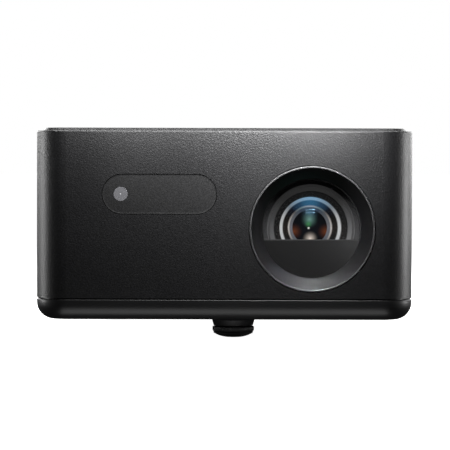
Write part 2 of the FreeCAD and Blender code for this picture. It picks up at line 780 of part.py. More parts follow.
# ---------------------------------------------------------------- projection lens
def lens_barrel():
    """Fixed barrel with stepped front rings, a shoulder for the focus ring and a flange on the engine."""
    end = barrel_front + barrel_length
    seat = focus_ring_depth + focus_ring_width + run_gap
    clip_end = focus_ring_depth - run_gap
    groove = barrel_radius - ring_clip_grip
    tube = turned([
        (barrel_radius - 0.6, barrel_front), (barrel_radius, barrel_front + 0.6),
        (barrel_radius, clip_end - ring_clip_thickness), (groove, clip_end - ring_clip_thickness),
        (groove, clip_end), (barrel_radius, clip_end),
        (barrel_radius, seat), (barrel_radius + 1.6, seat), (barrel_radius + 1.6, end),
        (barrel_bore - 3, end), (barrel_bore - 3, end - 2), (barrel_bore, end - 2),
        (barrel_bore, barrel_front + 3.0), (barrel_bore + 0.3, barrel_front + 2.6),
        (barrel_bore + 3.0, barrel_front + 1.2), (barrel_bore + 3.1, barrel_front + 2.2),
        (barrel_bore + 3.7, barrel_front + 2.2), (barrel_bore + 3.7, barrel_front),
    ])
    flange = rounded_plate(barrel_flange_width, barrel_flange_height, 4.0, end - barrel_flange_thickness, end)
    barrel = fused([tube, flange.cut(rod(barrel_radius, barrel_front, end + 1))])
    cuts = [rod(1.3, end - 5, end + 1, x, z) for x, z in barrel_screw_places()]
    for angle in guide_pin_angles:
        half = guide_pin_radius + run_gap
        reach = cell_travel + 0.3
        span = (barrel_bore - 1, barrel_radius + 1)
        slot = block(span, (-half, half), (guide_depth() - reach, guide_depth() + reach))
        ends = [radial_pin(half, *span, guide_depth() + s * reach) for s in (-1, 1)]
        slot = fused([slot] + ends)
        slot.rotate(Vector(0, 0, 0), UP, angle)
        cuts.append(slot)
    return on_lens_axis_upright(less(barrel, cuts))


def barrel_screw_places():
    """Screws through the barrel's flange, across the lens axis."""
    return [(sx * barrel_screw_x, sz * barrel_screw_z) for sx in (-1, 1) for sz in (-1, 1)]


def guide_depth():
    """Depth of the guide pins: the middle of the focus ring."""
    return focus_ring_depth + focus_ring_width / 2


def radial_pin(radius, start, end, depth):
    """A pin along +X from start to end, out from the lens axis, at a depth."""
    return Part.makeCylinder(radius, end - start, Vector(start, 0, depth), Vector(1, 0, 0))


def guide_pins():
    """Three steel pins in the cell that pass through the barrel's slots into the focus ring's grooves."""
    pins = []
    for angle in guide_pin_angles:
        pin = radial_pin(guide_pin_radius, barrel_bore - 3.5, guide_pin_reach, guide_depth())
        pin.rotate(Vector(0, 0, 0), UP, angle)
        pins.append(on_lens_axis_upright(pin))
    return Part.makeCompound(pins)


def ring_clip():
    """Open spring clip that keeps the focus ring on the barrel."""
    low = focus_ring_depth - run_gap - ring_clip_thickness
    clip = ring(barrel_radius + 1.8, barrel_radius - ring_clip_grip, low, low + ring_clip_thickness)
    return on_lens_axis_upright(clip.cut(block((-5, 5), (-barrel_radius - 3, 0), (low - 1, low + 2))))


def helical_groove(angle):
    """Cutter for one of the focus ring's inner grooves, which draws its pin along as the ring turns."""
    near, far = barrel_radius - 1, guide_pin_reach + 0.3
    pitch = cell_travel * 360.0 / focus_turn
    slope = math.atan2(pitch, 2 * math.pi * guide_pin_reach)
    half = (guide_pin_radius + run_gap) / math.cos(slope)
    overrun = math.degrees((guide_pin_radius + 0.2) / barrel_radius)
    sweep = 2 * (focus_turn + overrun)
    low = guide_depth() - pitch * sweep / 720.0
    path = Part.makeHelix(pitch, pitch * sweep / 360.0, far)
    path.translate(Vector(0, 0, low))
    corners = [Vector(r, 0, low + h) for r, h in ((near, -half), (far, -half), (far, half), (near, half))]
    section = Part.makePolygon(corners + corners[:1])
    groove = Part.Wire(path.Edges).makePipeShell([section], True, True)
    groove.rotate(Vector(0, 0, 0), UP, angle - sweep / 2)
    return groove


def focus_ring():
    """Ring that turns on the barrel, with a toothed sector for the pinion and three helical grooves."""
    inner = barrel_radius + run_gap
    root = ring_pitch_radius - 1.25 * gear_module
    blank = ring(root, inner, focus_ring_depth, focus_ring_depth + focus_ring_width)
    first = pinion_bearing_angle - (ring_teeth_present - 1) / 2 * 360.0 / ring_teeth
    gear = toothed(blank, ring_teeth, ring_teeth_present, first, pinion_length + 1.0, root,
                   focus_ring_depth + 0.5)
    return on_lens_axis_upright(less(gear, [helical_groove(angle) for angle in guide_pin_angles]))


def pinion_place():
    """Centre of the pinion across the lens axis, as (x, z) from that axis."""
    angle = math.radians(pinion_bearing_angle)
    return pinion_distance * math.cos(angle), pinion_distance * math.sin(angle)


def focus_pinion():
    """Pinion pressed on the focus motor's shaft, set so that its teeth meet the ring's gaps."""
    root = pinion_pitch_radius - 1.25 * gear_module
    low = focus_ring_depth + 1.0
    blank = ring(root, motor_shaft_radius, low, low + pinion_length)
    ring_phase = 0.5 if ring_teeth_present % 2 == 0 else 0.0
    towards_ring = pinion_bearing_angle + 180.0
    first = towards_ring + (0.5 - ring_phase) * 360.0 / pinion_teeth
    gear = toothed(blank, pinion_teeth, pinion_teeth, first, pinion_length, root, low)
    x, z = pinion_place()
    gear.translate(Vector(x, z, 0))
    return on_lens_axis_upright(gear)


def focus_motor():
    """Small stepper bored for its shaft, on a round neck from the engine's front wall."""
    x, z = pinion_place()
    low = motor_front()
    end = barrel_front + barrel_length
    can = rod(motor_radius, low, low + motor_length, x, z)
    nose = rod(2.5, low - 1.2, low, x, z)
    neck = rod(motor_neck_radius, low + motor_length, end, x, z)
    bore = rod(motor_shaft_radius + run_gap, low - 2, low + motor_length - 2, x, z)
    return on_lens_axis_upright(fused([can, nose, neck]).cut(bore))


def motor_front():
    """Depth of the focus motor's front face."""
    return focus_ring_depth + pinion_length + 4.0


def pinion_shaft():
    """Motor shaft that carries the pinion."""
    x, z = pinion_place()
    shaft = rod(motor_shaft_radius, focus_ring_depth + 0.6, motor_front() + motor_length - 3, x, z)
    return on_lens_axis_upright(shaft)


def focus_cell():
    """Sleeve that slides in the barrel and carries the glass, with stepped baffles behind the front glass."""
    outer = barrel_bore - run_gap
    end = cell_front + cell_length
    rim_depth = glass_depth_at(front_glass_outer_curve, front_glass_depth, front_glass_radius)
    seat = front_glass_back_depth()
    shoulder = rear_glass_depth + rear_glass_thickness
    cell = turned([
        (outer - 0.5, cell_front), (outer, cell_front + 0.5), (outer, end), (rear_glass_radius + 1.5, end),
        (rear_glass_radius - 1.2, shoulder), (rear_glass_radius, shoulder), (rear_glass_radius, seat + 8.5),
        (13.2, seat + 6.0), (13.6, seat + 4.2), (16.0, seat + 2.0), (front_glass_radius - 0.2, seat),
        (front_glass_radius + 0.05, seat), (front_glass_radius + 0.05, rim_depth - 0.4),
        (front_glass_radius + 0.8, rim_depth - 0.9), (front_glass_radius + 0.8, rim_depth - 1.9),
        (front_glass_radius + 1.9, rim_depth - 2.1), (front_glass_radius + 1.9, cell_front),
    ])
    holes = []
    for angle in guide_pin_angles:
        hole = radial_pin(guide_pin_radius, barrel_bore - 3.5, barrel_bore + 1, guide_depth())
        hole.rotate(Vector(0, 0, 0), UP, angle)
        holes.append(hole)
    return on_lens_axis_upright(less(cell, holes))


def glass_depth_at(curve, crown, radius):
    """Depth of a spherical face at a radius, bulging towards the front from its crown."""
    return crown + curve - math.sqrt(curve ** 2 - radius ** 2)


def front_glass_back_depth():
    """Depth of the front glass's back edge."""
    crown = front_glass_depth + front_glass_thickness
    return glass_depth_at(front_glass_inner_curve, crown, front_glass_radius)


def domed(radius, curve, crown, end):
    """A round block whose front is a sphere of radius curve, up to the depth end."""
    ball = Part.makeSphere(curve, Vector(0, 0, crown + curve))
    return rod(radius, crown - 1, end).common(ball)


def front_glass():
    """Front meniscus: both faces bulge forward and its edge is thicker than its middle."""
    back = front_glass_back_depth()
    blank = domed(front_glass_radius, front_glass_outer_curve, front_glass_depth, back)
    crown = front_glass_depth + front_glass_thickness
    hollow = Part.makeSphere(front_glass_inner_curve, Vector(0, 0, crown + front_glass_inner_curve))
    return on_lens_axis(blank.cut(hollow))


def rear_glass():
    """Second element, domed at the front and flat behind."""
    return on_lens_axis(domed(rear_glass_radius - 0.05, rear_glass_curve, rear_glass_depth,
                              rear_glass_depth + rear_glass_thickness))


# ---------------------------------------------------------------- sensor window
def sensor_window():
    """Flush pill-shaped window with a seat for the camera's cover and a flange behind the wall."""
    length, height = window_length - 2 * window_gap, window_height - 2 * window_gap
    plate = wall_plate(length, height, height / 2, front_y + 0.05, front_y + wall, window_x, window_z)
    lap = window_flange
    back = wall_plate(window_length + 2 * lap, window_height + 2 * lap, window_height / 2 + lap,
                      front_y + wall, window_back(), window_x, window_z)
    hole = along_y(rod(camera_radius, front_y - 1, front_y + camera_seat_depth),
                   window_x + camera_offset, window_z)
    return fused([plate, back]).cut(hole)


def window_back():
    """Back face of the window's flange."""
    return front_y + wall + window_flange_thickness


def camera_cover():
    """Round frosted cover of the alignment camera, set in the sensor window."""
    return along_y(rod(camera_radius - 0.05, front_y + 0.05, front_y + camera_seat_depth),
                   window_x + camera_offset, window_z)


def sensor_board():
    """Small board behind the window with the camera block and the distance sensor."""
    near, far = window_back(), window_back() + sensor_gap
    camera_x = window_x + camera_offset
    board = wall_plate(window_length - 6, window_height - 5, 2.0, far, sensor_board_back(),
                       window_x, window_z)
    camera = block((camera_x - 4, camera_x + 4), (near, far), (window_z - 4, window_z + 4))
    ranger = block((window_x + 8, window_x + 20), (near, far), (window_z - 3, window_z + 3))
    receiver = along_y(rod(2.6, near + 0.5, far), window_x - 8, window_z)
    return fused([board, camera, ranger, receiver])


def sensor_board_back():
    """Back face of the sensor board."""
    return window_back() + sensor_gap + sensor_board_thickness


def ribbon_cable(points, x):
    """A flat cable in a plane across X, from (y, z) points with square-cornered bends."""
    half = ribbon_thickness / 2
    upper, lower = [], []
    for i, (y, z) in enumerate(points):
        before = points[max(i - 1, 0)]
        after = points[min(i + 1, len(points) - 1)]
        along = Vector(0, after[0] - before[0], after[1] - before[1]).normalize()
        normal = Vector(0, -along.z, along.y)
        upper.append(Vector(0, y, z) + normal * half)
        lower.append(Vector(0, y, z) - normal * half)
    outline = upper + lower[::-1]
    face = Part.Face(Part.makePolygon(outline + outline[:1]))
    face.translate(Vector(x - ribbon_width / 2, 0, 0))
    return face.extrude(Vector(ribbon_width, 0, 0))


def sensor_ribbon():
    """Flat cable from the sensor board over the power board to the main board."""
    start, landing = sensor_board_back(), main_board_front + 12.0
    return ribbon_cable([(start, window_z), (start + 3, window_z), (start + 8, window_z - 2),
                         (start + 16, window_z - 8), (landing - 44, window_z - 10),
                         (landing - 16, window_z - 18), (landing - 4, window_z - 32),
                         (landing, board_top_z + 4), (landing, board_top_z)], window_x)


# ---------------------------------------------------------------- feet
def foot_stack():
    """Heights of the knob's top and underside."""
    top = base_z - boss_drop - foot_line_gap
    return top, top - knob_height


def foot_knob():
    """Ribbed plastic knob with the recess of the rubber pad."""
    top, low = foot_stack()
    knob = turned([(0, low), (foot_radius - 0.5, low), (foot_radius, low + 0.5), (foot_radius, top - 0.5),
                   (foot_radius - 0.5, top), (0, top)])
    cuts = []
    for i in range(knob_ribs):
        angle = math.radians(i * 360.0 / knob_ribs)
        across = Vector(math.cos(angle), math.sin(angle), 0) * (foot_radius + 0.15)
        cuts.append(rod(0.45, low - 1, top + 1, across.x, across.y))
    cuts.append(rod(pad_spigot_radius + run_gap, low - 1, low + pad_spigot_height + run_gap))
    cuts.append(rod(stud_radius, low + pad_spigot_height + knob_floor, top + 1))
    knob = less(knob, cuts)
    knob.translate(Vector(foot_x, foot_y, 0))
    return knob


def foot_stud():
    """Steel stud moulded into the knob, running in the brass insert."""
    top, low = foot_stack()
    start = low + pad_spigot_height + knob_floor
    stud = rod(stud_radius, start, start + stud_length)
    stud = stud.makeChamfer(0.5, edges_at(stud, lambda p: abs(p.z - start - stud_length) < 1e-4))
    stud.translate(Vector(foot_x, foot_y, 0))
    return stud


def foot_pad():
    """Domed rubber pad that stays still on the table while the knob turns on its spigot."""
    top, low = foot_stack()
    face = low - run_gap
    radius = foot_radius - 0.3
    crown = face - pad_rim
    curve = (radius ** 2 + crown ** 2) / (2 * crown)
    ball = Part.makeSphere(curve, Vector(0, 0, curve))
    pad = rod(radius, 0, face).common(ball)
    pad = fused([pad, rod(pad_spigot_radius, face - 0.5, low + pad_spigot_height - run_gap)])
    pad.translate(Vector(foot_x, foot_y, 0))
    return pad


def foot_insert():
    """Brass bush in the boss, bored for the stud."""
    low = base_z - boss_drop
    bush = ring(insert_radius, stud_radius + run_gap, low, low + insert_length)
    bush.translate(Vector(foot_x, foot_y, 0))
    return bush


def rear_feet():
    """Two round rubber feet set in shallow seats."""
    feet = []
    for x in (-rear_foot_x, rear_foot_x):
        foot = turned([(0, 0), (rear_foot_flat, 0), (rear_foot_radius - 1.8, rear_foot_dome * 0.55),
                       (rear_foot_radius - 0.5, rear_foot_dome), (rear_foot_radius, rear_foot_dome + 0.8),
                       (rear_foot_radius, base_z + rear_foot_recess), (0, base_z + rear_foot_recess)])
        foot.translate(Vector(x, rear_foot_y, 0))
        feet.append(foot)
    return Part.makeCompound(feet)


def tripod_insert():
    """Brass bush for a camera screw in the middle of the underside."""
    bush = rod(tripod_insert_radius, base_z, base_z + tripod_depth)
    return bush.cut(rod(tripod_bore_radius, base_z - 1, base_z + tripod_depth - 1.5))


# ---------------------------------------------------------------- fans and cooling
def fan_corners():
    reach = fan_size / 2 - 5.0
    return [(sx * reach, sy * reach) for sx in (-1, 1) for sy in (-1, 1)]


def fan_frame_shape():
    """Square frame with a round throat, a motor plate on three struts and corner holes; axis along Z."""
    throat = rod(fan_bore_radius, -1, fan_thickness + 1)
    frame = rounded_plate(fan_size, fan_size, fan_corner, 0, fan_thickness).cut(throat)
    plate = rod(fan_hub_radius, 0, fan_plate)
    struts = []
    for i in range(3):
        strut = block((0, fan_bore_radius + 1), (-1.6, 1.6), (0, fan_plate))
        strut.rotate(Vector(0, 0, 0), UP, 90 + i * 120)
        struts.append(strut)
    pin = rod(fan_pin_radius, 0, fan_pin_length)
    frame = fused([frame, plate, pin] + struts)
    return less(frame, peg_holes(-1, fan_thickness + 1))


def peg_holes(low, high):
    """Cutters for the pegs at a fan's corners."""
    return [rod(fan_peg_radius + fan_peg_gap, low, high, x, y) for x, y in fan_corners()]


def fan_rotor_shape():
    """Hub with pitched blades, clear of the frame all round; axis along Z."""
    low, high = fan_plate + 0.6, fan_thickness - 0.8
    hub = rod(fan_hub_radius, low, high).cut(rod(fan_hub_radius - 1.2, low - 1, high - 1.2))
    hub = fused([hub, rod(3.2, low + 0.2, high - 1.0)])
    tip = fan_bore_radius - fan_tip_gap
    chord = 16.0
    blades = []
    for i in range(fan_blades):
        blade = block((fan_hub_radius - 0.8, tip + 1), (-0.6, 0.6), (-chord / 2, chord / 2))
        blade.rotate(Vector(0, 0, 0), Vector(1, 0, 0), 90 - fan_blade_pitch)
        blade.translate(Vector(0, 0, (low + high) / 2))
        blade.rotate(Vector(0, 0, 0), UP, i * 360.0 / fan_blades)
        blades.append(blade)
    sweep = ring(tip, fan_hub_radius - 1.0, low + 0.3, high - 0.3)
    blades = [blade.common(sweep) for blade in blades]
    return fused([hub] + blades).cut(rod(fan_pin_radius + run_gap, low - 1, fan_pin_length + 0.4))


def fan_seat(side):
    """Position and direction of a fan's outer face: its axis points into the casing."""
    out = grille_back - filter_thickness if side < 0 else grille_back
    return Vector(side * out, left_fan_y if side < 0 else right_fan_y, fan_z), Vector(-side, 0, 0)


def dust_filter():
    """Foam sheet between the left grille and the intake fan, bored for the fan's pegs."""
    seat, inward = fan_seat(-1)
    sheet = rounded_plate(fan_size, fan_size, fan_corner, -filter_thickness, 0)
    return placed(less(sheet, peg_holes(-filter_thickness - 1, 1)), seat, inward)


def heat_pipe_rows():
    """(x, z) of the heat pipes where they cross the fins."""
    return [(fins_end() - 6.0, fan_z + dz) for dz in (-18.0, 0.0, 18.0)]


def fins_end():
    """Face of the fin stack that meets the exhaust fan."""
    return grille_back - fan_thickness


def heat_sink():
    """Fin stack against the exhaust fan, on a bottom rail, bored for the heat pipes."""
    across = (fins_end() - fin_depth, fins_end())
    first = right_fan_y - (fin_count - 1) * fin_pitch / 2
    low, high = fan_z - fan_size / 2, fan_z + fan_size / 2
    half = fin_thickness / 2
    middles = [first + i * fin_pitch for i in range(fin_count)]
    fins = [block(across, (y - half, y + half), (low, high)) for y in middles]
    rail = block(across, (middles[0] - half, middles[-1] + half), (low, low + 1.6))
    bores = [along_y(rod(heat_pipe_radius, middles[0] - 2, middles[-1] + 2), x, z)
             for x, z in heat_pipe_rows()]
    return less(fused(fins + [rail]), bores)


def laser_seat():
    """Corner of the laser block: its inner face, front end and underside."""
    return engine_x + engine_width / 2, engine_front_y + 12.0, lens_z - laser_height / 2


def cold_plate_pipes():
    """(x, z) of the heat pipes where they lie on the laser's cold plate."""
    x0, y0, z0 = laser_seat()
    outer = x0 + laser_depth + cold_plate_thickness
    return [(outer + heat_pipe_radius, z0 + dz) for dz in (5.0, 17.0, 29.0)]


def heat_pipes():
    """Three copper pipes from the laser block's cold plate into the fins."""
    start_y = laser_seat()[1] + 3
    bend_y = laser_seat()[1] + laser_length + 6
    pipes = []
    for (x, z), (start_x, start_z) in zip(heat_pipe_rows(), cold_plate_pipes()):
        points = [Vector(start_x, start_y, start_z), Vector(start_x, bend_y, start_z),
                  Vector(x, right_fan_y - 29, z), Vector(x, right_fan_y + 26, z)]
        pipes.append(bent_rod(points, 8.0, heat_pipe_radius))
    return Part.makeCompound(pipes)


# ---------------------------------------------------------------- optical engine
def engine_screw_places():
    """Screw lugs beside the engine housing."""
    reach = engine_width / 2 + 4.5
    return [(engine_x + sx * reach, engine_front_y + y) for sx in (-1, 1) for y in (6.0, engine_depth - 6.0)]


def engine_span():
    """The engine housing's outer X, Y and Z ranges."""
    return ((engine_x - engine_width / 2, engine_x + engine_width / 2),
            (engine_front_y, engine_front_y + engine_depth), (engine_z, engine_z + engine_height))


def engine_housing():
    """Cast open-topped housing with windows for the lens, the imaging chip and the laser beam."""
    x, y, z = engine_span()
    inner = [(x[0] + engine_wall, x[1] - engine_wall), (y[0] + engine_wall, y[1] - engine_wall),
             (z[0] + engine_wall, z[1] + 1)]
    lugs = [rod(4.5, z[0], z[0] + engine_wall, px, py) for px, py in engine_screw_places()]
    webs = [block((min(px, engine_x), max(px, engine_x)), (py - 3, py + 3), (z[0], z[0] + engine_wall))
            for px, py in engine_screw_places()]
    body = fused([block(x, y, z)] + lugs + webs).cut(block(*inner))
    floor = z[0] + engine_wall
    bosses = [rod(3.2, floor - 0.5, z[1], px, py) for px, py in cover_screw_places()]
    half = prism_size / 2
    pedestal = block((lens_x - half + 1, lens_x + half - 1), (beam_y() - half + 1, beam_y() + half - 1),
                     (floor - 0.5, lens_z - half))
    body = fused([body, pedestal] + bosses)
    cuts = [on_lens_axis(rod(16.0, engine_front_y - front_y - 1, engine_front_y - front_y + engine_wall + 1)),
            block((lens_x - 13, lens_x + 13), (y[1] - engine_wall - 1, y[1] + 1), (lens_z - 9, lens_z + 9)),
            placed(rod(5.0, x[1] - engine_wall - 1, x[1] + 1), Vector(0, beam_y(), lens_z), Vector(1, 0, 0))]
    cuts += [rod(1.6, z[0] - 1, floor + 1, px, py) for px, py in engine_screw_places()]
    cuts += [rod(1.2, z[1] - 8, z[1] + 1, px, py) for px, py in cover_screw_places()]
    depth = engine_front_y - front_y
    holes = [rod(1.0, depth - 1, depth + engine_wall + 1, px, pz) for px, pz in barrel_screw_places()]
    return less(body, cuts + [on_lens_axis_upright(hole) for hole in holes])


def cover_screw_places():
    """Screws near the corners of the engine cover."""
    x, y, z = engine_span()
    inset = engine_wall + 2.4
    return [(px, py) for px in (x[0] + inset, x[1] - inset) for py in (y[0] + inset, y[1] - inset)]


def beam_y():
    """Where the laser beam crosses the engine, along Y."""
    return laser_seat()[1] + 17.0


def engine_cover():
    """Flat cover over the engine housing, with a locating step."""
    x, y, z = engine_span()
    plate = block(x, y, (z[1], z[1] + engine_cover_thickness))
    inset = engine_wall + 6.0
    step = block((x[0] + inset, x[1] - inset), (y[0] + inset, y[1] - inset), (z[1] - 1.2, z[1]))
    holes = [rod(1.5, z[1] - 2, z[1] + 3, px, py) for px, py in cover_screw_places()]
    return less(fused([plate, step]), holes)


def prism_pair():
    """Two wedge prisms with a thin air gap, which turn the beam onto the imaging chip."""
    size, gap = prism_size, prism_air_gap
    y0 = beam_y() - size / 2
    lower = [(lens_x - size / 2, y0), (lens_x + size / 2, y0), (lens_x + size / 2, y0 + size)]
    upper = [lower[0], (lens_x - size / 2, y0 + size), lower[2]]
    shapes = []
    for corners, shift in ((lower, Vector(gap, 0, 0)), (upper, Vector(0, 0, 0))):
        points = [Vector(px, py, lens_z - size / 2) for px, py in corners]
        wedge = Part.Face(Part.makePolygon(points + points[:1])).extrude(Vector(0, 0, size))
        wedge.translate(shift)
        shapes.append(wedge)
    return Part.makeCompound(shapes)


def light_tunnel():
    """Square glass rod that evens out the beam, in its metal clip."""
    start = lens_x + prism_size / 2 + prism_air_gap + 0.4
    bar = block((start, start + 7), (beam_y() - 3, beam_y() + 3), (lens_z - 2.5, lens_z + 2.5))
    clip = block((start + 1, start + 6), (beam_y() - 4.5, beam_y() + 4.5),
                 (engine_z + engine_wall, lens_z + 4))
    return fused([bar, clip])


def wheel_place():
    """Centre of the diffuser wheel; its rim crosses the beam."""
    return Vector(engine_x + engine_width / 2 - engine_wall - 6.6, beam_y(), lens_z - wheel_radius + 3.0)


def diffuser_wheel():
    """Thin glass disc on a metal hub."""
    wheel = fused([ring(wheel_radius, 4.0, 0, 1.0), ring(5.0, 1.5 + run_gap, -0.8, 1.8)])
    return placed(wheel, wheel_place(), Vector(1, 0, 0))


def wheel_motor():
    """Flat motor and shaft of the diffuser wheel, on the housing's side wall."""
    can = rod(6.0, 2.6, 6.6)
    shaft = rod(1.5, -1.2, 2.6)
    return placed(fused([can, shaft]), wheel_place(), Vector(1, 0, 0))


def laser_block():
    """Laser bank on its cold plate, with three emitters facing the engine."""
    x0, y0, z0 = laser_seat()
    ends, rise = (y0, y0 + laser_length), (z0, z0 + laser_height)
    joint = x0 + laser_depth
    outer = joint + cold_plate_thickness
    body = block((x0, joint), ends, rise)
    plate = block((joint, outer), ends, rise)
    fins = [block((outer, outer + 1.4), (y, y + 2.0), (z0 + 1, z0 + laser_height - 1))
            for y in (y0 + 1 + i * 5.2 for i in range(7))]
    grooves = [along_y(rod(heat_pipe_radius, y0 - 1, y0 + laser_length + 1), x, z)
               for x, z in cold_plate_pipes()]
    nose = placed(rod(4.8, x0 - engine_wall, x0), Vector(0, beam_y(), lens_z), Vector(1, 0, 0))
    return fused([body, plate, nose] + [less(fin, grooves) for fin in fins])


def dmd_board():
    """Small board behind the engine that carries the imaging chip."""
    return block((lens_x - 20, lens_x + 20), dmd_board_span(), (lens_z - 24, lens_z + 22))


def dmd_board_span():
    """Front and back faces of the imaging chip's board."""
    front = engine_front_y + engine_depth + dmd_seat
    return front, front + dmd_board_thickness


def dmd_chip():
    """Imaging chip in its ceramic carrier, facing forward through the engine's rear window."""
    y = engine_front_y + engine_depth
    carrier = block((lens_x - 12, lens_x + 12), (y - 1.5, y + dmd_seat), (lens_z - 8, lens_z + 8))
    window = block((lens_x - 8, lens_x + 8), (y - 2.5, y - 1.5), (lens_z - 5, lens_z + 5))
    return fused([carrier, window])


def dmd_heat_sink():
    """Finned block on the back of the imaging chip's board."""
    y = dmd_board_span()[1]
    rise = (lens_z - 16, lens_z + 16)
    left, right = lens_x - 16, fins_end() - fin_depth - dmd_sink_gap
    base = block((left, right), (y, y + 2.5), rise)
    pitch = (right - left - dmd_sink_fin_thickness) / (dmd_sink_fins - 1)
    starts = [left + i * pitch for i in range(dmd_sink_fins)]
    fins = [block((x, x + dmd_sink_fin_thickness), (y + 2.5, y + 12), rise) for x in starts]
    return fused([base] + fins)


# ---------------------------------------------------------------- electronics
def board_screw_places():
    """Screws near the corners of both boards."""
    places = []
    for x, y in (main_board_span, power_board_span):
        inset = board_screw_inset
        places += [(px, py) for px in (x[0] + inset, x[1] - inset) for py in (y[0] + inset, y[1] - inset)]
    return places


def circuit_board(span):
    x, y = span
    board = block(x, y, (board_z, board_top_z))
    inside = [p for p in board_screw_places() if x[0] < p[0] < x[1] and y[0] < p[1] < y[1]]
    return less(board, [rod(1.5, board_z - 1, board_top_z + 1, *p) for p in inside])


def board_chips():
    """Shielded processor, memory and connectors on the main board."""
    z = board_top_z
    x, y = main_board_span
    pieces = [block((x[0] + 14, x[0] + 44), (y[0] + 16, y[0] + 46), (z, z + 3.0)),
              block((x[0] + 18, x[0] + 40), (y[0] + 20, y[0] + 42), (z + 3.0, z + 8.0)),
              block((x[0] + 50, x[0] + 62), (y[0] + 18, y[0] + 28), (z, z + 1.2)),
              block((x[0] + 50, x[0] + 62), (y[0] + 32, y[0] + 42), (z, z + 1.2)),
              block((window_x - 8, window_x + 8), (y[0] + 12 + ribbon_thickness, y[0] + 15.2), (z, z + 2.6))]
    pieces[0] = fused(pieces[:2])
    return Part.makeCompound([pieces[0]] + pieces[2:])


def power_parts():
    """Transformer, storage capacitors and choke on the power board."""
    z = board_top_z
    x, y = power_board_span
    core = block((x[0] + 38, x[0] + 66), (y[0] + 30, y[0] + 58), (z, z + 20))
    sizes = ((8.0, 26.0, 18.0, 44.0), (8.0, 26.0, 18.0, 63.0),
             (5.0, 18.0, 14.0, 24.0), (5.0, 18.0, 27.0, 24.0))
    caps = [rod(radius, z, z + height, x[0] + px, y[0] + py) for radius, height, px, py in sizes]
    choke = ring(9.0, 4.5, z, z + 9, x[0] + 55, y[0] + 17)
    return Part.makeCompound([core, choke] + caps)


def speaker(side):
    """Boxed driver that fires sideways: a magnet behind a basket and a cone."""
    y = front_y + grille_front + speaker_from_grille_end
    rim = speaker_radius - 3.0
    driver = turned([(0, 4.0), (rim, 0.6), (rim, 0), (speaker_radius, 0), (speaker_radius, 2.0),
                     (rim + 0.5, 2.4), (12.0, 8.0), (12.0, 15.0), (0, 15.0)])
    return placed(driver, Vector(side * grille_back, y, grille_z), Vector(-side, 0, 0))


def power_key():
    """Round key that travels down in the lid's guide, with a flange that stops it under the guide."""
    low, high = key_underside(), lid_top_z + key_proud
    key = rod(key_radius, low, high, 0, key_y)
    key = key.makeFillet(0.6, edges_at(key, lambda p: abs(p.z - high) < 1e-4))
    return fused([key, rod(key_radius + key_flange, low, low + 1.0, 0, key_y)])


def key_underside():
    """Lower face of the key, with its flange just under the guide."""
    return lid_seat_z - key_guide_drop - 0.2 - 1.0


def key_board():
    """Switch board under the lid, carried by the lid's two posts."""
    top = lid_seat_z - key_board_drop
    board = rounded_plate(34.0, 12.0, 3.0, top - 1.2, top, 0, key_y)
    switch = rod(3.0, top, key_underside() - key_travel - 0.1, 0, key_y)
    return fused([board, switch])


def case_screws():
    """Four screws that hold the base tray to the shell's pillars, with cross recesses."""
    screws = []
    for x, y in screw_places:
        head_top = base_z + screw_head_depth
        head_low = head_top - screw_head_height
        screw = fused([rod(screw_head_radius, head_low, head_top),
                       rod(screw_shank_radius, head_top, shell_z + screw_grip)])
        for angle in (0, 90):
            slot = block((-1.6, 1.6), (-0.35, 0.35), (head_low - 1, head_low + screw_slot_depth))
            slot.rotate(Vector(0, 0, 0), UP, angle)
            screw = screw.cut(slot)
        screw.translate(Vector(x, y, 0))
        screws.append(screw)
    return Part.makeCompound(screws)


def inner_screws():
    """Screws of both boards, of the engine's lugs and cover, and of the lens barrel's flange."""
    screws = []
    groups = ((board_screw_places(), board_top_z), (engine_screw_places(), engine_z + engine_wall),
              (cover_screw_places(), engine_z + engine_height + engine_cover_thickness))
    for places, seat in groups:
        for x, y in places:
            screws.append(fused([rod(2.6, seat, seat + 1.6, x, y), rod(1.2, seat - 7.6, seat, x, y)]))
    seat = barrel_front + barrel_length - barrel_flange_thickness
    for x, z in barrel_screw_places():
        screw = fused([rod(2.0, seat - 1.4, seat, x, z), rod(1.0, seat, seat + 5.4, x, z)])
        screws.append(on_lens_axis_upright(screw))
    return Part.makeCompound(screws)


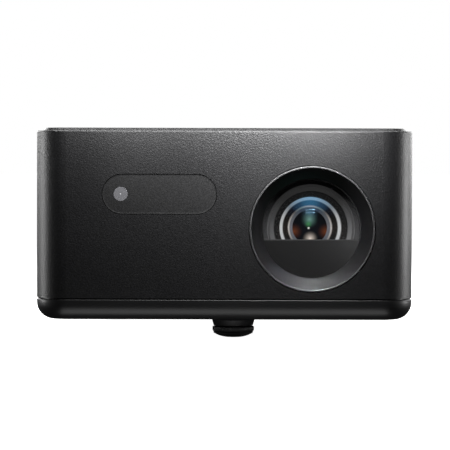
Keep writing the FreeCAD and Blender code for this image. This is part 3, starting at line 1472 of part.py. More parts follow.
# ---------------------------------------------------------------- the whole projector
PARTS = {
    "main_shell": main_shell,
    "top_lid": top_lid,
    "base_tray": base_tray,
    "rear_panel": rear_panel,
    "left_grille": lambda: side_grille(-1),
    "right_grille": lambda: side_grille(1),
    "lens_bezel": lens_bezel,
    "lens_mask": lens_mask,
    "lens_seal": lens_seal,
    "sensor_window": sensor_window,
    "camera_cover": camera_cover,
    "sensor_board": sensor_board,
    "sensor_ribbon": sensor_ribbon,
    "lens_barrel": lens_barrel,
    "ring_clip": ring_clip,
    "focus_ring": focus_ring,
    "focus_pinion": focus_pinion,
    "pinion_shaft": pinion_shaft,
    "focus_motor": focus_motor,
    "focus_cell": focus_cell,
    "guide_pins": guide_pins,
    "front_glass": front_glass,
    "rear_glass": rear_glass,
    "foot_insert": foot_insert,
    "foot_knob": foot_knob,
    "foot_stud": foot_stud,
    "foot_pad": foot_pad,
    "rear_feet": rear_feet,
    "tripod_insert": tripod_insert,
    "left_fan_frame": lambda: placed(fan_frame_shape(), *fan_seat(-1)),
    "right_fan_frame": lambda: placed(fan_frame_shape(), *fan_seat(1)),
    "left_fan_rotor": lambda: placed(fan_rotor_shape(), *fan_seat(-1)),
    "right_fan_rotor": lambda: placed(fan_rotor_shape(), *fan_seat(1)),
    "dust_filter": dust_filter,
    "heat_sink": heat_sink,
    "heat_pipes": heat_pipes,
    "engine_housing": engine_housing,
    "engine_cover": engine_cover,
    "prism_pair": prism_pair,
    "light_tunnel": light_tunnel,
    "diffuser_wheel": diffuser_wheel,
    "wheel_motor": wheel_motor,
    "laser_block": laser_block,
    "dmd_chip": dmd_chip,
    "dmd_board": dmd_board,
    "dmd_heat_sink": dmd_heat_sink,
    "main_board": lambda: circuit_board(main_board_span),
    "board_chips": board_chips,
    "power_board": lambda: circuit_board(power_board_span),
    "power_parts": power_parts,
    "left_speaker": lambda: speaker(-1),
    "right_speaker": lambda: speaker(1),
    "power_key": power_key,
    "key_board": key_board,
    "hdmi_port": hdmi_port,
    "usb_port": usb_port,
    "audio_jack": audio_jack,
    "mains_inlet": mains_inlet,
    "case_screws": case_screws,
    "inner_screws": inner_screws,
}


def main():
    os.makedirs("parts", exist_ok=True)
    for name, make in PARTS.items():
        shape = make()
        solids = shape.Solids
        if not solids or not all(s.isValid() and s.Volume > 0 for s in solids):
            raise ValueError(f"{name} is not a set of valid solids")
        whole = solids[0] if len(solids) == 1 else Part.makeCompound(solids)
        whole.exportStep(os.path.join("parts", name + ".step"))
        box = whole.BoundBox
        print(f"{name:18s} solids {len(solids):3d}  volume {whole.Volume / 1000:9.2f} cm3  "
              f"z {box.ZMin:7.2f} to {box.ZMax:7.2f}")


main()
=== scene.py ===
"""Finishes, optics, fittings, studio and camera of a home projector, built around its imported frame."""

import logging
import math
from dataclasses import dataclass, field
from enum import Enum
from typing import Iterable, Optional, Sequence, Union

import bmesh
import bpy
from mathutils import Matrix, Vector


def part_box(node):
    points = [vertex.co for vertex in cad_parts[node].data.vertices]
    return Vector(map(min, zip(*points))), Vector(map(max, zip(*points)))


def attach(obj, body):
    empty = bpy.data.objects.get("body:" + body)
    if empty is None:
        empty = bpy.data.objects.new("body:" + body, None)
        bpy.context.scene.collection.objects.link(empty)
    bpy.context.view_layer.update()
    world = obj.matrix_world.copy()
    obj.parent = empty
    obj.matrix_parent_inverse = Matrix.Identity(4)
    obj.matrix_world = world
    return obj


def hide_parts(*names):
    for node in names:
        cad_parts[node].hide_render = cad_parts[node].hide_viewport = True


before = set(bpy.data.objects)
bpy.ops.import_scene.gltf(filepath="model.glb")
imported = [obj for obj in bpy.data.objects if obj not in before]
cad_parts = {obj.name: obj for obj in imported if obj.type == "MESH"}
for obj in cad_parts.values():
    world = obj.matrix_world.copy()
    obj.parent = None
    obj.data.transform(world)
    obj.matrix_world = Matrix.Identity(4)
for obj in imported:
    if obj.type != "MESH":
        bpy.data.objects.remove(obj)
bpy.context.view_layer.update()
log = logging.getLogger("projector")

MM = 0.001
Point = tuple[float, float]
Colour = tuple[float, float, float]
Value = Union["Socket", float, int, tuple]


# ---------------------------------------------------------------- shader expressions
class Socket:
    """A shader output that takes part in arithmetic."""

    def __init__(self, net: "Net", link: Optional[bpy.types.NodeSocket]) -> None:
        """Wraps a node's output.

        Args:
            net: The node tree that the output belongs to.
            link: The output itself, or nothing for a node that ends the tree.
        """
        self.net = net
        self.link = link

    def _math(self, operation: str, first: Value, second: Value = 0.0) -> "Socket":
        """Adds a Math node.

        Args:
            operation: The node's operation.
            first: Its first value.
            second: Its second value.

        Returns:
            The result.
        """
        return self.net.node("ShaderNodeMath", {"operation": operation}, {0: first, 1: second})

    def __add__(self, other: Value) -> "Socket":
        """Sum."""
        return self._math("ADD", self, other)

    __radd__ = __add__

    def __sub__(self, other: Value) -> "Socket":
        """Difference."""
        return self._math("SUBTRACT", self, other)

    def __rsub__(self, other: Value) -> "Socket":
        """Difference, with this socket taken away."""
        return self._math("SUBTRACT", other, self)

    def __mul__(self, other: Value) -> "Socket":
        """Product."""
        return self._math("MULTIPLY", self, other)

    __rmul__ = __mul__

    def __truediv__(self, other: Value) -> "Socket":
        """Quotient."""
        return self._math("DIVIDE", self, other)

    def __pow__(self, other: Value) -> "Socket":
        """Power."""
        return self._math("POWER", self, other)

    def __gt__(self, other: Value) -> "Socket":
        """One where this is larger, zero elsewhere."""
        return self._math("GREATER_THAN", self, other)

    def __lt__(self, other: Value) -> "Socket":
        """One where this is smaller, zero elsewhere."""
        return self._math("LESS_THAN", self, other)

    def sine(self) -> "Socket":
        """Sine."""
        return self._math("SINE", self)

    def fraction(self) -> "Socket":
        """What is left after the whole part."""
        return self._math("FRACT", self)

    def absolute(self) -> "Socket":
        """Distance from zero."""
        return self._math("ABSOLUTE", self)


class Net:
    """A material's node tree."""

    def __init__(self, name: str) -> None:
        """Starts a material with an empty tree.

        Args:
            name: The material's name.
        """
        self.material = bpy.data.materials.new(name)
        self.material.use_nodes = True
        self.tree = self.material.node_tree
        self.tree.nodes.clear()

    def node(self, kind: str, settings: Optional[dict] = None, inputs: Optional[dict] = None,
             output: Union[int, str] = 0) -> Socket:
        """Adds any node.

        Args:
            kind: The node's type name.
            settings: Properties set before anything is linked; "stops" fills a colour ramp.
            inputs: Values or sockets by input name or number.
            output: The output to hand back.

        Returns:
            The chosen output.
        """
        node = self.tree.nodes.new(kind)
        for key, value in (settings or {}).items():
            if key == "stops":
                self._fill_ramp(node.color_ramp, value)
            else:
                setattr(node, key, value)
        for key, value in (inputs or {}).items():
            if isinstance(value, Socket):
                self.tree.links.new(value.link, node.inputs[key])
            else:
                self._set(node.inputs[key], value)
        return Socket(self, node.outputs[output] if node.outputs else None)

    @staticmethod
    def _set(target: bpy.types.NodeSocket, value: Union[float, tuple]) -> None:
        """Puts a constant on an input, with alpha added to a colour that lacks it.

        Args:
            target: The input.
            value: Its number, vector or colour.
        """
        if isinstance(value, tuple) and target.type == "RGBA" and len(value) == 3:
            value = (*value, 1.0)
        target.default_value = value

    @staticmethod
    def _fill_ramp(ramp: bpy.types.ColorRamp, stops: Sequence[tuple]) -> None:
        """Fills a colour ramp.

        Args:
            ramp: The ramp.
            stops: Pairs of a position and a colour.
        """
        while len(ramp.elements) > 1:
            ramp.elements.remove(ramp.elements[-1])
        for i, (position, colour) in enumerate(stops):
            element = ramp.elements[0] if i == 0 else ramp.elements.new(position)
            element.position = position
            element.color = (*colour, 1.0) if len(colour) == 3 else colour

    def place(self) -> Socket:
        """Position in the shared frame, in metres."""
        return self.node("ShaderNodeTexCoord", output="Object")

    def noise(self, scale: float, detail: float = 2.0, roughness: float = 0.5,
              where: Optional[Socket] = None) -> Socket:
        """Smooth noise from 0 to 1.

        Args:
            scale: Features a metre.
            detail: Octaves.
            roughness: Strength of the finer octaves.
            where: Position, or the shared frame's.

        Returns:
            The noise value.
        """
        return self.node("ShaderNodeTexNoise", {"noise_dimensions": "3D"}, {
            "Vector": where or self.place(), "Scale": scale, "Detail": detail, "Roughness": roughness})

    def cells(self, scale: float, measure: str = "EUCLIDEAN") -> Socket:
        """Distance to the nearest of scattered points, whose scale is given in points a metre."""
        return self.node("ShaderNodeTexVoronoi", {"feature": "F1", "distance": measure},
                         {"Vector": self.place(), "Scale": scale}, "Distance")

    def split(self, vector: Socket) -> tuple[Socket, Socket, Socket]:
        """X, Y and Z of a vector."""
        outputs = self.node("ShaderNodeSeparateXYZ", inputs={"Vector": vector}).link.node.outputs
        return tuple(Socket(self, outputs[i]) for i in range(3))

    def offset(self, vector: Socket, by: tuple[float, float, float]) -> Socket:
        """A vector moved by a constant."""
        return self.node("ShaderNodeVectorMath", {"operation": "ADD"}, {0: vector, 1: by})

    def stretched(self, vector: Socket, by: tuple[float, float, float]) -> Socket:
        """A vector scaled along each axis."""
        return self.node("ShaderNodeVectorMath", {"operation": "MULTIPLY"}, {0: vector, 1: by})

    def ramp(self, factor: Socket, stops: Sequence[tuple]) -> Socket:
        """A colour read from a ramp."""
        return self.node("ShaderNodeValToRGB", {"stops": stops}, {"Fac": factor})

    def span(self, value: Socket, low: float, high: float, to_low: float = 0.0,
             to_high: float = 1.0) -> Socket:
        """Maps a range of values onto another, held at both ends."""
        return self.node("ShaderNodeMapRange", {"clamp": True}, {
            "Value": value, "From Min": low, "From Max": high, "To Min": to_low, "To Max": to_high})

    def mix(self, factor: Value, first: Value, second: Value) -> Socket:
        """Mixes two colours."""
        return self.node("ShaderNodeMix", {"data_type": "RGBA"}, {0: factor, 6: first, 7: second}, 2)

    def bump(self, height: Socket, strength: float, distance: float) -> Socket:
        """A normal from a height.

        Args:
            height: Height from 0 to 1.
            strength: The node's strength.
            distance: What a height of 1 stands for, in metres.

        Returns:
            The normal.
        """
        return self.node("ShaderNodeBump",
                         inputs={"Height": height, "Strength": strength, "Distance": distance})

    def surface(self, **inputs: Value) -> Socket:
        """A Principled surface; an input's name is given with underscores."""
        return self.node("ShaderNodeBsdfPrincipled",
                         inputs={key.replace("_", " "): value for key, value in inputs.items()})

    def finish(self, shader: Socket) -> bpy.types.Material:
        """Links the shader to the output.

        Args:
            shader: The finished surface.

        Returns:
            The material.
        """
        self.node("ShaderNodeOutputMaterial", inputs={"Surface": shader})
        return self.material


# ---------------------------------------------------------------- shapes
def rounded(corners: Sequence[tuple[float, ...]], segments: int = 6) -> list[Point]:
    """Rounds the corners of a closed outline.

    Args:
        corners: Points as (x, y) or (x, y, radius of the corner).
        segments: Steps in each rounded corner.

    Returns:
        The outline's points.
    """
    outline: list[Point] = []
    for i, corner in enumerate(corners):
        here = Vector(corner[:2])
        radius = corner[2] if len(corner) > 2 else 0.0
        if radius <= 0.0:
            outline.append((here.x, here.y))
            continue
        back = (Vector(corners[i - 1][:2]) - here).normalized()
        on = (Vector(corners[(i + 1) % len(corners)][:2]) - here).normalized()
        half = back.angle(on) / 2
        centre = here + (back + on).normalized() * (radius / math.sin(half))
        start, end = here + back * (radius / math.tan(half)), here + on * (radius / math.tan(half))
        for k in range(segments + 1):
            spoke = (start - centre).lerp(end - centre, k / segments).normalized() * radius
            outline.append((centre.x + spoke.x, centre.y + spoke.y))
    return outline


def arc(start: Point, end: Point, curve: float, steps: int = 16) -> list[Point]:
    """Points on a shallow arc of a given radius, which bulges towards lower second values.

    Args:
        start: First point as (radius from the axis, depth).
        end: Last point.
        curve: Radius of the sphere whose crown lies on the axis.
        steps: Number of spans.

    Returns:
        The points, ends included.
    """
    crown = start[1] - (curve - math.sqrt(curve ** 2 - start[0] ** 2))
    points = []
    for i in range(steps + 1):
        radius = start[0] + (end[0] - start[0]) * i / steps
        points.append((radius, crown + curve - math.sqrt(curve ** 2 - radius ** 2)))
    return points


class Form:
    """A mesh in the making, in millimetres, which ends as one piece that rides on a body."""

    def __init__(self, name: str) -> None:
        """Starts an empty mesh.

        Args:
            name: The piece's name.
        """
        self.name = name
        self.mesh = bmesh.new()

    def _row(self, points: Iterable[Vector], place: Matrix) -> list[bmesh.types.BMVert]:
        """Adds a row of points given in millimetres."""
        return [self.mesh.verts.new(place @ (Vector(point) * MM)) for point in points]

    def _span(self, low: list[bmesh.types.BMVert], high: list[bmesh.types.BMVert], material: int) -> None:
        """Joins two closed rows, either of which may be a single point.

        Args:
            low: The first row.
            high: The next row.
            material: Material number of the faces.
        """
        count = max(len(low), len(high))
        for i in range(count):
            j = (i + 1) % count
            if len(low) == 1:
                corners = (low[0], high[j], high[i])
            elif len(high) == 1:
                corners = (low[i], low[j], high[0])
            else:
                corners = (low[i], low[j], high[j], high[i])
            self.mesh.faces.new(corners).material_index = material

    def lathe(self, profile: Sequence[Point], place: Matrix, steps: int = 144, loop: bool = False,
              materials: Optional[Sequence[int]] = None) -> "Form":
        """Turns a profile about the place's Z axis.

        Args:
            profile: Points as (radius, height along the axis).
            place: Where the axis and its origin lie.
            steps: Facets round the axis.
            loop: Whether the last point joins the first.
            materials: Material number of each span, or the first for all.

        Returns:
            This form.
        """
        rows = []
        for radius, height in profile:
            if radius < 1e-6:
                rows.append(self._row([Vector((0, 0, height))], place))
                continue
            turns = [2 * math.pi * i / steps for i in range(steps)]
            ring = [Vector((radius * math.cos(turn), radius * math.sin(turn), height)) for turn in turns]
            rows.append(self._row(ring, place))
        pairs = list(zip(rows, rows[1:])) + ([(rows[-1], rows[0])] if loop else [])
        for i, (low, high) in enumerate(pairs):
            self._span(low, high, materials[i] if materials else 0)
        return self

    def stack(self, outlines: Sequence[Sequence[Vector]], place: Matrix) -> "Form":
        """Lofts closed outlines with equal numbers of points, and caps both ends.

        Args:
            outlines: The outlines in order.
            place: Where their own origin lies.

        Returns:
            This form.
        """
        rows = [self._row(outline, place) for outline in outlines]
        for low, high in zip(rows, rows[1:]):
            self._span(low, high, 0)
        for end in (rows[0], rows[-1]):
            self.mesh.faces.new(end)
        return self

    def finish(self, body: str, slot: str, finishes: Sequence["Finish"], replaces: Sequence[str] = (),
               sharp: float = 32.0) -> bpy.types.Object:
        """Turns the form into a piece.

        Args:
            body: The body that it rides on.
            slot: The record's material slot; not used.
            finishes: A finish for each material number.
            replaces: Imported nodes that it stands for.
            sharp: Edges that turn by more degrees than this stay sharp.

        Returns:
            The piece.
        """
        bmesh.ops.remove_doubles(self.mesh, verts=self.mesh.verts, dist=1e-8)
        bmesh.ops.recalc_face_normals(self.mesh, faces=self.mesh.faces)
        data = bpy.data.meshes.new(self.name)
        self.mesh.to_mesh(data)
        self.mesh.free()
        data.shade_smooth()
        data.set_sharp_from_angle(angle=math.radians(sharp))
        for finish in finishes:
            data.materials.append(finish.material())
        piece = bpy.data.objects.new(self.name, data)
        bpy.context.collection.objects.link(piece)
        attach(piece, body)
        if replaces:
            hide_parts(*replaces)
        log.info("%s: %d faces on %s", self.name, len(data.polygons), body)
        return piece


def middle(node: str) -> Vector:
    """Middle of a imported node's box."""
    low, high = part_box(node)
    return (Vector(low) + Vector(high)) / 2


def front_face() -> float:
    """Y of the casing's front face."""
    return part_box("main_shell")[0][1]


def into_front(x: float, z: float) -> Matrix:
    """Place on the front face whose Z axis points into the casing and whose X axis is the casing's."""
    return Matrix.Translation((x, front_face(), z)) @ Matrix.Rotation(-math.pi / 2, 4, "X")


# ---------------------------------------------------------------- finishes
@dataclass(frozen=True)
class MouldedPlastic:
    """Moulded plastic with a spark-eroded grain, fine colour mottle and handling wear in its gloss."""

    name: str
    colour: Colour
    roughness: float
    grain: float = 2600.0
    depth: float = 0.00004
    speckle: float = 0.15
    strength: float = 0.35
    specular: float = 0.5
    # Emission strength; above zero the plastic glows without a lamp, which is painted light.
    glow: float = 0.0

    def make(self) -> bpy.types.Material:
        """Builds the material.

        Returns:
            The finished material.
        """
        net = Net(self.name)
        grain = net.noise(self.grain, 2.0, 0.6)
        fine = net.cells(self.grain * 0.8)
        cloud = net.noise(22.0, 3.0)
        height = grain * 0.7 + fine * 0.5
        mottle = net.span(height, 0.35, 0.85, 1.0 - self.speckle, 1.0 + self.speckle)
        tone = mottle * net.span(cloud, 0.3, 0.7, 0.96, 1.04)
        colour = net.node("ShaderNodeVectorMath", {"operation": "SCALE"}, {0: self.colour, "Scale": tone})
        rough = net.span(grain * 0.6 + cloud * 0.4, 0.3, 0.7, self.roughness - 0.05, self.roughness + 0.06)
        shader = net.surface(Base_Color=colour, Roughness=rough, Specular_IOR_Level=self.specular,
                             Emission_Color=(1.0, 1.0, 1.0), Emission_Strength=self.glow,
                             Normal=net.bump(height, self.strength, self.depth))
        return net.finish(shader)


@dataclass(frozen=True)
class Metal:
    """Metal with a brushed or cast surface and slight tarnish."""

    name: str
    colour: Colour
    roughness: float
    brushed: tuple[float, float, float] = (1.0, 1.0, 1.0)
    scale: float = 900.0
    depth: float = 0.00002

    def make(self) -> bpy.types.Material:
        """Builds the material.

        Returns:
            The finished material.
        """
        net = Net(self.name)
        streaks = net.noise(self.scale, 4.0, 0.6, net.stretched(net.place(), self.brushed))
        tarnish = net.noise(60.0, 3.0)
        dull = tuple(share * 0.6 for share in self.colour)
        colour = net.mix(net.span(tarnish, 0.3, 0.75, 0.0, 0.35), self.colour, dull)
        uneven = streaks * 0.6 + tarnish * 0.4
        rough = net.span(uneven, 0.3, 0.7, self.roughness - 0.07, self.roughness + 0.1)
        shader = net.surface(Base_Color=colour, Metallic=1.0, Roughness=rough,
                             Normal=net.bump(streaks, 0.3, self.depth))
        return net.finish(shader)


@dataclass(frozen=True)
class Foam:
    """Open-cell foam or moulded rubber with pores."""

    name: str
    colour: Colour
    pores: float = 1100.0
    depth: float = 0.0002

    def make(self) -> bpy.types.Material:
        """Builds the material.

        Returns:
            The finished material.
        """
        net = Net(self.name)
        pores = net.cells(self.pores)
        dust = net.noise(120.0, 3.0)
        # The pores' hollows are painted darker: painted shade in the recesses.
        pore_shade = tuple(share * 0.4 for share in self.colour)
        clean = net.mix(net.span(pores, 0.1, 0.6), pore_shade, self.colour)
        dusty = net.mix(net.span(dust, 0.5, 0.8, 0.0, 0.25), clean, (0.09, 0.09, 0.09))
        shader = net.surface(Base_Color=dusty, Roughness=net.span(dust, 0.3, 0.7, 0.8, 0.95),
                             Normal=net.bump(pores, 0.6, self.depth))
        return net.finish(shader)


@dataclass(frozen=True)
class CircuitBoard:
    """Solder-masked board with buried tracks, pads and vias."""

    name: str
    mask: Colour = (0.012, 0.075, 0.035)
    track: Colour = (0.02, 0.13, 0.05)
    pad: Colour = (0.6, 0.58, 0.5)

    def make(self) -> bpy.types.Material:
        """Builds the material.

        Returns:
            The finished material.
        """
        net = Net(self.name)
        tracks = (net.cells(130.0, "CHEBYCHEV") * 9.0).fraction() < 0.35
        vias = net.cells(420.0) < 0.18
        colour = net.mix(vias, net.mix(tracks, self.mask, self.track), self.pad)
        rough = net.span(net.noise(300.0), 0.3, 0.7, 0.28, 0.42)
        shader = net.surface(Base_Color=colour, Roughness=rough, Coat_Weight=0.3,
                             Normal=net.bump(tracks * 0.5 + vias, 0.4, 0.00005))
        return net.finish(shader)


@dataclass(frozen=True)
class CoatedGlass:
    """Optical glass: clear, with a coloured coating that shows where it mirrors a light."""

    name: str
    coating: Colour
    facing: float = 0.04
    grazing: float = 0.6
    roughness: float = 0.03
    tint: Colour = (0.97, 0.99, 1.0)

    def make(self) -> bpy.types.Material:
        """Builds the material.

        Returns:
            The finished material.
        """
        net = Net(self.name)
        edge = net.node("ShaderNodeLayerWeight", inputs={"Blend": 0.5}, output="Facing")
        haze = net.noise(250.0, 2.0)
        mirror = net.surface(Base_Color=self.coating, Metallic=1.0,
                             Roughness=net.span(haze, 0.3, 0.7, self.roughness, self.roughness + 0.015))
        clear = net.node("ShaderNodeBsdfTransparent", inputs={"Color": self.tint})
        weight = net.span(edge ** 2.5, 0.0, 1.0, self.facing, self.grazing)
        return net.finish(net.node("ShaderNodeMixShader", inputs={0: weight, 1: clear, 2: mirror}))


@dataclass(frozen=True)
class LensPaintedReflections:
    """Stepped inside of a coated lens with painted reflections: its rings run from silver at the sides to
    blue at the top, standing in for the side lamps and the top light mirrored in it, and the rings glow with
    that colour.
    """

    name: str
    glow: float = 1.2
    turning: float = 0.00075
    soft: float = 0.26
    pupil: float = 9.4
    # Painted reflections: each ring's outer radius in millimetres and its colours from the sides to the top.
    painted_rings: tuple[tuple[float, tuple[Colour, ...]], ...] = (
        (12.25, ((0.14, 0.135, 0.15), (0.11, 0.11, 0.12), (0.07, 0.075, 0.085), (0.034, 0.048, 0.075),
                 (0.05, 0.085, 0.12))),
        (13.15, ((0.48, 0.44, 0.41), (0.3, 0.27, 0.25), (0.09, 0.08, 0.08), (0.13, 0.19, 0.21),
                 (0.27, 0.29, 0.34))),
        (16.45, ((0.017, 0.013, 0.011), (0.009, 0.008, 0.007), (0.007, 0.008, 0.013), (0.021, 0.054, 0.1),
                 (0.03, 0.11, 0.2))),
        (18.3, ((0.5, 0.49, 0.48), (0.4, 0.39, 0.39), (0.17, 0.19, 0.21), (0.19, 0.29, 0.39),
                (0.2, 0.35, 0.5))),
        (40.0, ((0.008, 0.008, 0.008),) * 5))
    heights: tuple[float, ...] = (0.0, 0.4, 0.7, 0.92, 1.0)

    def make(self) -> bpy.types.Material:
        """Builds the material.

        Returns:
            The finished material.
        """
        net = Net(self.name)
        axis = middle("front_glass")
        x, _, z = net.split(net.offset(net.place(), tuple(-axis)))
        radius = (x * x + z * z) ** 0.5
        height = (z / radius).absolute()
        colour: Value = (0.004, 0.004, 0.005)
        start = self.pupil
        for end, stops in self.painted_rings:
            ring = net.span(radius, (start - self.soft) * MM, (start + self.soft) * MM)
            colour = net.mix(ring, colour, net.ramp(height, tuple(zip(self.heights, stops))))
            start = end
        turning = (radius * (2 * math.pi / self.turning)).sine()
        colour = net.mix(net.span(turning, -1.0, 1.0, 0.0, 0.35), colour, (0.003, 0.003, 0.004))
        grain = net.noise(900.0, 3.0)
        # The ring colours are emitted too, at strength glow: a painted glow that shines without a lamp.
        shader = net.surface(Base_Color=net.mix(0.6, colour, (0.01, 0.01, 0.01)),
                             Roughness=net.span(grain, 0.3, 0.7, 0.22, 0.3),
                             Specular_IOR_Level=0.25, Emission_Color=colour, Emission_Strength=self.glow)
        return net.finish(shader)


@dataclass(frozen=True)
class PupilGlass:
    """Dark inner element with painted reflections of the lamps in its coatings and a small painted highlight,
    which glow with their colour.
    """

    name: str
    glow: float = 1.0
    # Painted reflections as (across, up, reach, softness, colour) in millimetres about the axis: coloured
    # coating reflections above, a warm one below for the overhead light, reddish ones at the sides, and last
    # a small pale painted highlight.
    painted_reflections: tuple[tuple[float, float, float, float, Colour], ...] = (
        (0.0, 8.8, 6.0, 1.0, (0.05, 0.1, 0.15)), (-0.3, 4.8, 5.6, 1.0, (0.13, 0.26, 0.22)),
        (-0.9, 2.2, 2.8, 1.0, (0.05, 0.22, 0.07)), (0.2, -6.6, 5.0, 1.0, (0.7, 0.58, 0.5)),
        (-9.4, -2.4, 5.6, 1.0, (0.12, 0.035, 0.015)), (9.4, -2.4, 5.6, 1.0, (0.12, 0.035, 0.015)),
        (-0.8, -0.3, 1.0, 0.8, (0.8, 0.8, 0.72)))

    def make(self) -> bpy.types.Material:
        """Builds the material.

        Returns:
            The finished material.
        """
        net = Net(self.name)
        axis = middle("front_glass")
        x, _, z = net.split(net.offset(net.place(), tuple(-axis)))
        colour: Value = (0.005, 0.0055, 0.007)
        for across, up, reach, soft, reflection_tint in self.painted_reflections:
            dx, dz = x - across * MM, z - up * MM
            away = (dx * dx + dz * dz) ** 0.5
            near = net.span(away, reach * (1 - soft) * MM, reach * MM, 1.0, 0.0) ** 2
            colour = net.mix(near, colour, reflection_tint)
        haze = net.noise(400.0, 2.0)
        # The painted reflections are also emitted at strength glow, so they shine without a lamp.
        shader = net.surface(Base_Color=net.mix(0.7, colour, (0.004, 0.004, 0.005)),
                             Roughness=net.span(haze, 0.3, 0.7, 0.1, 0.14), Specular_IOR_Level=0.08,
                             Emission_Color=colour, Emission_Strength=self.glow)
        return net.finish(shader)


@dataclass(frozen=True)
class StageFloor:
    """Pale studio floor that stays even."""

    name: str
    colour: Colour = (0.9, 0.9, 0.9)
    glow: float = 1.02

    def make(self) -> bpy.types.Material:
        """Builds the material.

        Returns:
            The finished material.
        """
        net = Net(self.name)
        cloud = net.noise(3.0, 2.0)
        tone = net.mix(net.span(cloud, 0.3, 0.7), self.colour, tuple(c * 0.985 for c in self.colour))
        shader = net.surface(Base_Color=tone, Roughness=0.9, Emission_Color=(1.0, 1.0, 1.0),
                             Emission_Strength=self.glow)
        return net.finish(shader)


class Finish(Enum):
    """Every finish on the projector, by the job that it does."""

    CASING = MouldedPlastic("casing_grain", (0.0085, 0.0085, 0.0092), 0.42, grain=1400.0, depth=0.00016,
                            speckle=0.5, strength=0.85)
    BASE = MouldedPlastic("base_satin", (0.008, 0.008, 0.0085), 0.4, grain=3000.0, depth=0.00003)
    WINDOW = MouldedPlastic("window_smoke", (0.012, 0.012, 0.0125), 0.44, grain=1400.0, depth=0.0001,
                            speckle=0.4, strength=0.6)
    FROSTED = MouldedPlastic("camera_frost", (0.11, 0.11, 0.118), 0.5, grain=5200.0, depth=0.00002)
    BEZEL = MouldedPlastic("bezel_satin", (0.0045, 0.0045, 0.0048), 0.36, grain=5000.0, depth=0.00001,
                           speckle=0.04, specular=0.2)
    MASK = MouldedPlastic("mask_matt", (0.004, 0.004, 0.0042), 0.46, grain=3600.0, depth=0.00004,
                          specular=0.3)
    BARREL = MouldedPlastic("barrel_black", (0.012, 0.012, 0.0125), 0.4, grain=4500.0, depth=0.00002)
    GREY_PLASTIC = MouldedPlastic("grey_moulding", (0.05, 0.05, 0.053), 0.5, grain=3000.0)
    BLACK_PLASTIC = MouldedPlastic("black_moulding", (0.012, 0.012, 0.012), 0.45, grain=3000.0)
    WHITE_PLASTIC = MouldedPlastic("white_moulding", (0.62, 0.6, 0.55), 0.45, grain=3000.0, speckle=0.03)
    CERAMIC = MouldedPlastic("chip_ceramic", (0.36, 0.36, 0.38), 0.55, grain=5000.0, speckle=0.05)
    RUBBER = Foam("foot_rubber", (0.02, 0.02, 0.02), pores=3200.0, depth=0.00003)
    FOAM = Foam("filter_foam", (0.03, 0.03, 0.032))
    STEEL = Metal("bright_steel", (0.62, 0.62, 0.64), 0.28, (0.1, 1.0, 1.0))
    BLACK_STEEL = Metal("black_zinc", (0.05, 0.05, 0.055), 0.4)
    BRASS = Metal("turned_brass", (0.72, 0.52, 0.22), 0.3, (1.0, 1.0, 0.1))
    CAST = Metal("die_cast", (0.42, 0.43, 0.45), 0.5, scale=1600.0, depth=0.00008)
    FINS = Metal("fin_sheet", (0.75, 0.76, 0.78), 0.32, (1.0, 1.0, 0.08))
    COPPER = Metal("bare_copper", (0.72, 0.32, 0.18), 0.3, (1.0, 0.08, 1.0))
    BOARD = CircuitBoard("solder_mask")
    LENS_BLUE = CoatedGlass("blue_coating", (0.35, 0.65, 1.0), facing=0.01, grazing=0.35)
    LENS_GREEN = CoatedGlass("green_coating", (0.45, 0.95, 0.65), facing=0.08)
    CLEAR_GLASS = CoatedGlass("clear_glass", (0.95, 0.97, 1.0), facing=0.05)
    # The barrel face glows faintly (glow): painted light that brightens it where the lamps don't reach.
    BARREL_FACE = MouldedPlastic("barrel_satin", (0.08, 0.08, 0.083), 0.34, grain=4500.0, depth=0.00001,
                                 glow=0.02)
    LIP = MouldedPlastic("polished_lip", (0.03, 0.03, 0.031), 0.32, grain=5000.0, depth=0.000005)
    KNOB = MouldedPlastic("knob_satin", (0.01, 0.01, 0.0105), 0.45, grain=3000.0, depth=0.00003)
    FAN = MouldedPlastic("fan_moulding", (0.02, 0.02, 0.021), 0.42, grain=3000.0, depth=0.00002)
    PALE_DOT = MouldedPlastic("camera_dot", (0.6, 0.6, 0.62), 0.3, grain=5000.0, depth=0.00001)
    # The lens's inner rings and pupil carry painted reflections and a painted highlight, and glow.
    LENS_ZONES = LensPaintedReflections("lens_painted_reflections")
    PUPIL = PupilGlass("pupil_glass")
    FLOOR = StageFloor("studio_floor")

    def material(self) -> bpy.types.Material:
        """The finish's material, made on first use."""
        found = bpy.data.materials.get(self.value.name)
        return found or self.value.make()


def dress(node: str, finish: Finish) -> None:
    """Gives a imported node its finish.

    Args:
        node: The node's name.
        finish: The finish for all of it.
    """
    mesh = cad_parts[node].data
    mesh.materials.clear()
    mesh.materials.append(finish.material())
    log.info("%s: %s", node, finish.name.lower())


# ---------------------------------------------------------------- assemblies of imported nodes
@dataclass
class Assembly:
    """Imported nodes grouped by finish."""

    finishes: dict[Finish, tuple[str, ...]]

    def dress(self) -> None:
        """Gives each node its finish."""
        for finish, nodes in self.finishes.items():
            for node in nodes:
                dress(node, finish)


@dataclass
class Casing(Assembly):
    """Shell, lid, base and the panels set in them."""

    finishes: dict[Finish, tuple[str, ...]] = field(default_factory=lambda: {
        Finish.CASING: ("main_shell", "top_lid", "power_key"),
        Finish.BASE: ("base_tray", "rear_panel", "left_grille", "right_grille"),
        Finish.BLACK_STEEL: ("case_screws",),
        Finish.WINDOW: ("sensor_window",),
        Finish.FROSTED: ("camera_cover",),
        Finish.BEZEL: ("lens_bezel",),
        Finish.MASK: ("lens_mask",),
        Finish.FOAM: ("lens_seal",)})


